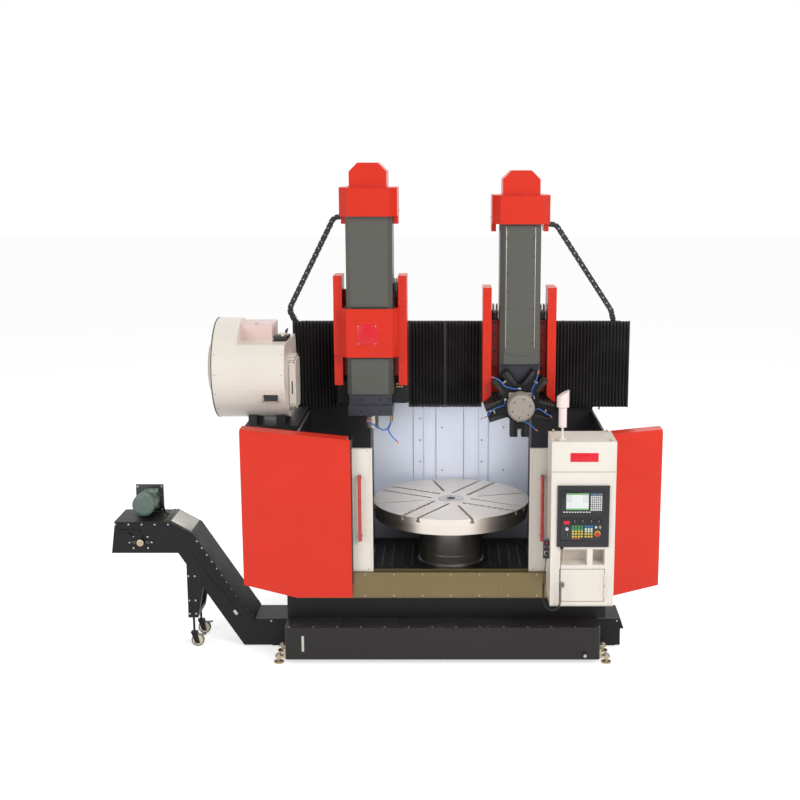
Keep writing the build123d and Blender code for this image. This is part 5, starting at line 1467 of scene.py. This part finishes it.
def build_switches():
    """The lower panel: axis keys, dials, the stop button and the blank plate."""
    rows = pads((1033,), (1283.5,), 322, 181, 0, 2) + border(872, 1194, 1193, 1374, 5, 1)
    rows += pads((914.5,), (1342,), 47, 28, 2, 4)
    assemble("console_panel", ["screen_dark", "black_plastic", "plate_crimson"], boxes=rows)
    left, right = (966, 989, 1013, 1036), (1067, 1090, 1113)
    keys = pads(left, (1310, 1289), 17, 15, 0) + pads(left, (1271, 1250, 1228), 17, 15, 1)
    keys += pads(right, (1310,), 17, 15, 2) + pads(right, (1289, 1271), 17, 15, 3)
    keys += pads(right, (1250, 1228), 17, 15, 1)
    keys += pads((1148,), (1305,), 18, 18, 3, 7) + pads((966, 989, 1013), (1211,), 17, 9, 4)
    assemble("console_pads", ["key_green", "key_yellow", "hose_blue", "key_white", "key_red"], boxes=keys)
    upper = [(x, 1353, 14, 0) for x in (977, 1042, 1110, 1168)]
    dials = []
    for x, z, radius, finish in (*upper, (918, 1289, 11, 1), (921, 1246, 12, 0), (1181, 1305, 8, 2)):
        skirt = [(radius + 3, 0), (radius + 3, 3), (radius, 5), (radius * 0.8, 18), (radius * 0.7, 20)]
        dials.append(((x, CONSOLE_FACE, z), FRONT, skirt, finish))
    pointers = [(x - 1.5, x + 1.5, CONSOLE_FACE - 21, CONSOLE_FACE - 12, z - 2, z + 13, 1, 0.4)
                for x, z in ((977, 1353), (1042, 1353), (1110, 1353), (1168, 1353), (921, 1246))]
    assemble("console_dials", ["black_plastic", "key_white", "screw_bright"], turned=dials, boxes=pointers)
    stop = (1161, CONSOLE_FACE, 1250)
    assemble("stop_button", ["key_yellow", "key_red"], turned=[
        (stop, FRONT, [(24, 0), (24, 3), (22, 4)], 0),
        (stop, FRONT, [(11, 3), (11, 14), (18, 16), (19, 20), (17, 26), (11, 29), (4, 30)], 1)])
    screws = [(850, 1619), (979, 1622), (1107, 1622), (1237, 1619), (850, 1310), (1237, 1310), (850, 1158),
              (972, 1158), (1097, 1158), (1227, 1161)]
    places = places_of([(x, CONSOLE_FACE, z) for x, z in screws], FRONT)
    fasteners("console_screws", places, "frame", 0.006, 0.003)


def build_cabinet():
    """The cabinet's plates, door lock, seams, screws and lifting eyes, and the signal lamp's rings."""
    assemble("cabinet_plate", ["plate_crimson"], boxes=pads((1048,), (1867,), 222, 72, 0, 2, CABINET_FACE))
    assemble("outlet_plate", ["screw_bright", "screw_black"],
             boxes=pads((878,), (1127,), 54, 34, 0, 2, CABINET_FACE)
             + [(x, x + 3, -1353.5, -1351, 1125.5, 1128.5, 1, 0.5) for x in (861, 895)],
             turned=[((881, -1350, 1127), FRONT, [(13.5, 0), (13.5, 9), (11, 12)], 1)])
    door = CABINET_FACE - 12
    rounds = [
        ([(895 + across * math.cos(turn), face, 825 + up * math.sin(turn)) for turn in circle(20)],
         (0, -3, 0), finish)
        for across, up, face, finish in ((11, 29, door, 0), (8, 26, door - 3, 1))
    ]
    assemble("door_lock", ["screw_bright", "black_plastic"], "cabinet_door",
             plates=rounds, boxes=[(891, 899, door - 10, door - 5, 806, 846, 1, 2)])
    seams = [(794, 1300, -1351, -1349, low, high, 0, 0.4) for low, high in ((1748, 1751), (646, 648))]
    assemble("cabinet_seams", ["black_rubber"], boxes=seams)
    assemble("lamp_rings", ["cream_paint", "screw_bright"], turned=[
        ((881, -1246, 1992), UP, [(30, 0), (30, 4), (26, 7), (14, 8), (13, 20), (11, 24)], 0),
        ((881, -1246, 2086), UP, [(20, 0), (33.5, 5), (33.5, 10), (31, 12)], 0),
        ((881, -1246, 2246), UP, [(34, 0), (36, 2), (36, 6), (34, 8)], 1)])
    right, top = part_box("cabinet")[1].xz * 1000
    side = [(right, y, z) for y in (-1300, -1150, -1000) for z in (700, 1320, 1940)]
    fasteners("cabinet_side_screws", places_of(side, RIGHT), "frame", 0.006, 0.002, "screw_bright")
    roof = [(x, y, top) for x in (830, 1264) for y in (-1310, -990)]
    assemble("lifting_eyes", ["zinc"], rods=[((x, y, z), (x, y, z + 8), 12, 0, 1) for x, y, z in roof]
             + [((x - 9, y, z + 14), (x + 9, y, z + 14), 9, 0, 1) for x, y, z in roof])


def build_pendant():
    """The hand pendant's dial, knobs and grips."""
    knobs = (
        (769, 1052, [(21, 0), (21, 3), (19, 5)], 1),
        (769, 1052, [(17, 4), (16, 12), (13, 14)], 0),
        (777, 1060, [(4, 13), (4, 24), (3, 25)], 0),
        (757, 1106, [(8, 0), (7, 9), (5, 10)], 3),
        (781, 1106, [(8, 0), (7, 9), (5, 10)], 3),
        (769, 1138, [(6, 0), (6, 4), (8.5, 6), (8, 11), (5, 12)], 2),
    )
    assemble("pendant_details", ["black_plastic", "screw_bright", "key_red", "key_grey"],
             boxes=[(742, 796, -1243, -1181, *ends, 3, 2) for ends in ((1150, 1157), (1003, 1009))],
             turned=[((x, -1249, z), FRONT, profile, finish) for x, z, profile, finish in knobs])


# The pendant's curly cord. Its control points, in metres, are those of the plain cord it replaces.
CORD_DIAMETER = 0.005
CURL_RADIUS = 0.008
CURL_PITCH = 0.009
CURL_END = 0.036
POINTS_A_TURN = 12
UPPER_LEAD = [
    (0.881, -1.362, 1.127), (0.881, -1.388, 1.127), (0.8805, -1.406, 1.108), (0.878, -1.409, 1.070),
    (0.871, -1.408, 1.005), (0.868, -1.407, 0.940), (0.8685, -1.4065, 0.885),
]
CURL = [
    (0.8685, -1.4065, 0.885), (0.871, -1.406, 0.775), (0.870, -1.405, 0.660), (0.8325, -1.3874, 0.6183),
    (0.7795, -1.3626, 0.6183), (0.742, -1.345, 0.660), (0.741, -1.330, 0.760), (0.744, -1.300, 0.840),
]
LOWER_LEAD = [
    (0.744, -1.300, 0.840), (0.746, -1.281, 0.891), (0.759, -1.245, 0.930), (0.769, -1.212, 0.963),
    (0.769, -1.212, 1.005),
]


def cord_curve(name, points, resolution=12):
    """A smooth open spline with the given control points."""
    curve = bpy.data.curves.new(name, "CURVE")
    curve.dimensions = "3D"
    curve.resolution_u = resolution
    curve.render_resolution_u = resolution
    spline = curve.splines.new("NURBS")
    spline.points.add(len(points) - 1)
    for item, point in zip(spline.points, points):
        item.co = (*point, 1)
    spline.order_u = 3
    spline.use_endpoint_u = True
    return bpy.data.objects.new(name, curve)


def line_of(curve):
    """The points along a curve that has no bevel."""
    scene = bpy.context.scene
    scene.collection.objects.link(curve)
    mesh = plain_mesh(curve)
    line = [vertex.co.copy() for vertex in mesh.vertices]
    scene.collection.objects.unlink(curve)
    bpy.data.meshes.remove(mesh)
    return line


def curl_round(line):
    """Points of a helix round a line. Its end turns are drawn out, and narrow down to the line."""
    spans = [(end - start).length for start, end in zip(line, line[1:])]
    whole = sum(spans)
    count = round(whole / CURL_PITCH) * POINTS_A_TURN
    side, part, walked, turn, points = None, 0, 0.0, 0.0, []
    for step in range(1, count):
        done = whole * step / count
        while done > walked + spans[part] and part < len(spans) - 1:
            walked += spans[part]
            part += 1
        here = line[part].lerp(line[part + 1], (done - walked) / spans[part])
        ahead = (line[part + 1] - line[part]).normalized()
        side = ahead.orthogonal() if side is None else side - ahead * side.dot(ahead)
        side.normalize()
        near_end = min(1.0, done / CURL_END, (whole - done) / CURL_END)
        swell = near_end * near_end * (3 - 2 * near_end)
        turn += 2 * math.pi / POINTS_A_TURN * (0.25 + 0.75 * swell)
        out = side * math.cos(turn) + ahead.cross(side) * math.sin(turn)
        points.append(here + out * CURL_RADIUS * swell)
    return points


def build_cord():
    """The curly cord from the cabinet's outlet down, round and up into the pendant."""
    helix = curl_round(line_of(cord_curve("curl_route", CURL)))
    points = [*UPPER_LEAD, *helix, *LOWER_LEAD]
    line = line_of(cord_curve("cord_route", points, 3))
    cord = cord_curve("pendant_curly_cord", points, 3)
    bpy.context.scene.collection.objects.link(cord)
    cord.data.bevel_depth = CORD_DIAMETER / 2
    cord.data.bevel_resolution = 2
    cord.data.use_fill_caps = True
    cord.data.materials.append(finish_of("black_rubber"))
    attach(cord, "frame")
    reliefs = assemble("cord_reliefs", ["black_rubber"], turned=[
        ((881, -1362, 1127), FRONT, [(8, 0), (8, 3), (6.5, 5), (4, 24)], 0),
        ((769, -1212, 1005), (0, 0, -1), [(8, 0), (8, 3), (6.5, 5), (4, 34)], 0)])
    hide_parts("pendant_cord")


def build_rear():
    """Bolts on the outer sides of the columns, on the crossbeam's back and top, and on the shelf's side."""
    for side, name in ((-1, "left"), (1, "right")):
        joints = [(side * 1360, y, z) for y in (360, 670, 980) for z in (90, 1920)]
        fasteners(name + "_column_bolts", places_of(joints, (side, 0, 0)), "frame", 0.016, 0.006)
    xs = range(-1380, 1561, 245)
    beam = [(x, 1000, z) for x in xs for z in (2010, 2620)]
    fasteners("beam_rear_bolts", places_of(beam, BACK), "frame", 0.012, 0.005)
    top = [(x, y, 2650) for x in xs for y in (340, 960)]
    fasteners("beam_top_bolts", places_of(top, UP), "frame", 0.012, 0.005)
    shelf = [(-1770, y, 1878) for y in (-340, -120, 120, 340)]
    fasteners("shelf_bolts", places_of(shelf, LEFT), "frame", 0.010, 0.004)


class GANTRY_OT_controls(bpy.types.Operator):
    """Fit the console, the cabinet's fittings, the pendant and its cord, and the rear bolts"""

    bl_idname = "gantry.controls"
    bl_label = "Controls and cord"

    def execute(self, context):
        build_screen()
        build_switches()
        build_cabinet()
        build_pendant()
        build_cord()
        build_rear()
        return {"FINISHED"}


class GANTRY_PT_panel(bpy.types.Panel):
    """The machine's pieces and settings"""

    bl_label = "Gantry machining center"
    bl_idname = "GANTRY_PT_panel"
    bl_space_type = "VIEW_3D"
    bl_region_type = "UI"
    bl_category = "Gantry"

    def draw(self, context):
        for operator in OPERATORS:
            self.layout.operator(operator.bl_idname)
        for settings in (context.scene.gantry_finish, context.scene.gantry_stage):
            box = self.layout.box()
            for key in settings.__annotations__:
                box.prop(settings, key)


OPERATORS = [
    GANTRY_OT_finish_nodes,
    GANTRY_OT_way_covers,
    GANTRY_OT_chains,
    GANTRY_OT_rams,
    GANTRY_OT_turret,
    GANTRY_OT_enclosure,
    GANTRY_OT_base,
    GANTRY_OT_controls,
    GANTRY_OT_stage,
]
CLASSES = [GantryFinish, GantryStage, *OPERATORS, GANTRY_PT_panel]


def register():
    for item in CLASSES:
        bpy.utils.register_class(item)
    bpy.types.Scene.gantry_finish = PointerProperty(type=GantryFinish)
    bpy.types.Scene.gantry_stage = PointerProperty(type=GantryStage)


def unregister():
    del bpy.types.Scene.gantry_stage
    del bpy.types.Scene.gantry_finish
    for item in reversed(CLASSES):
        bpy.utils.unregister_class(item)


def main():
    register()
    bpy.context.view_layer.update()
    for operator in OPERATORS:
        group, name = operator.bl_idname.split(".")
        getattr(getattr(bpy.ops, group), name)()
    bpy.context.view_layer.update()


if __name__ == "__main__":
    main()
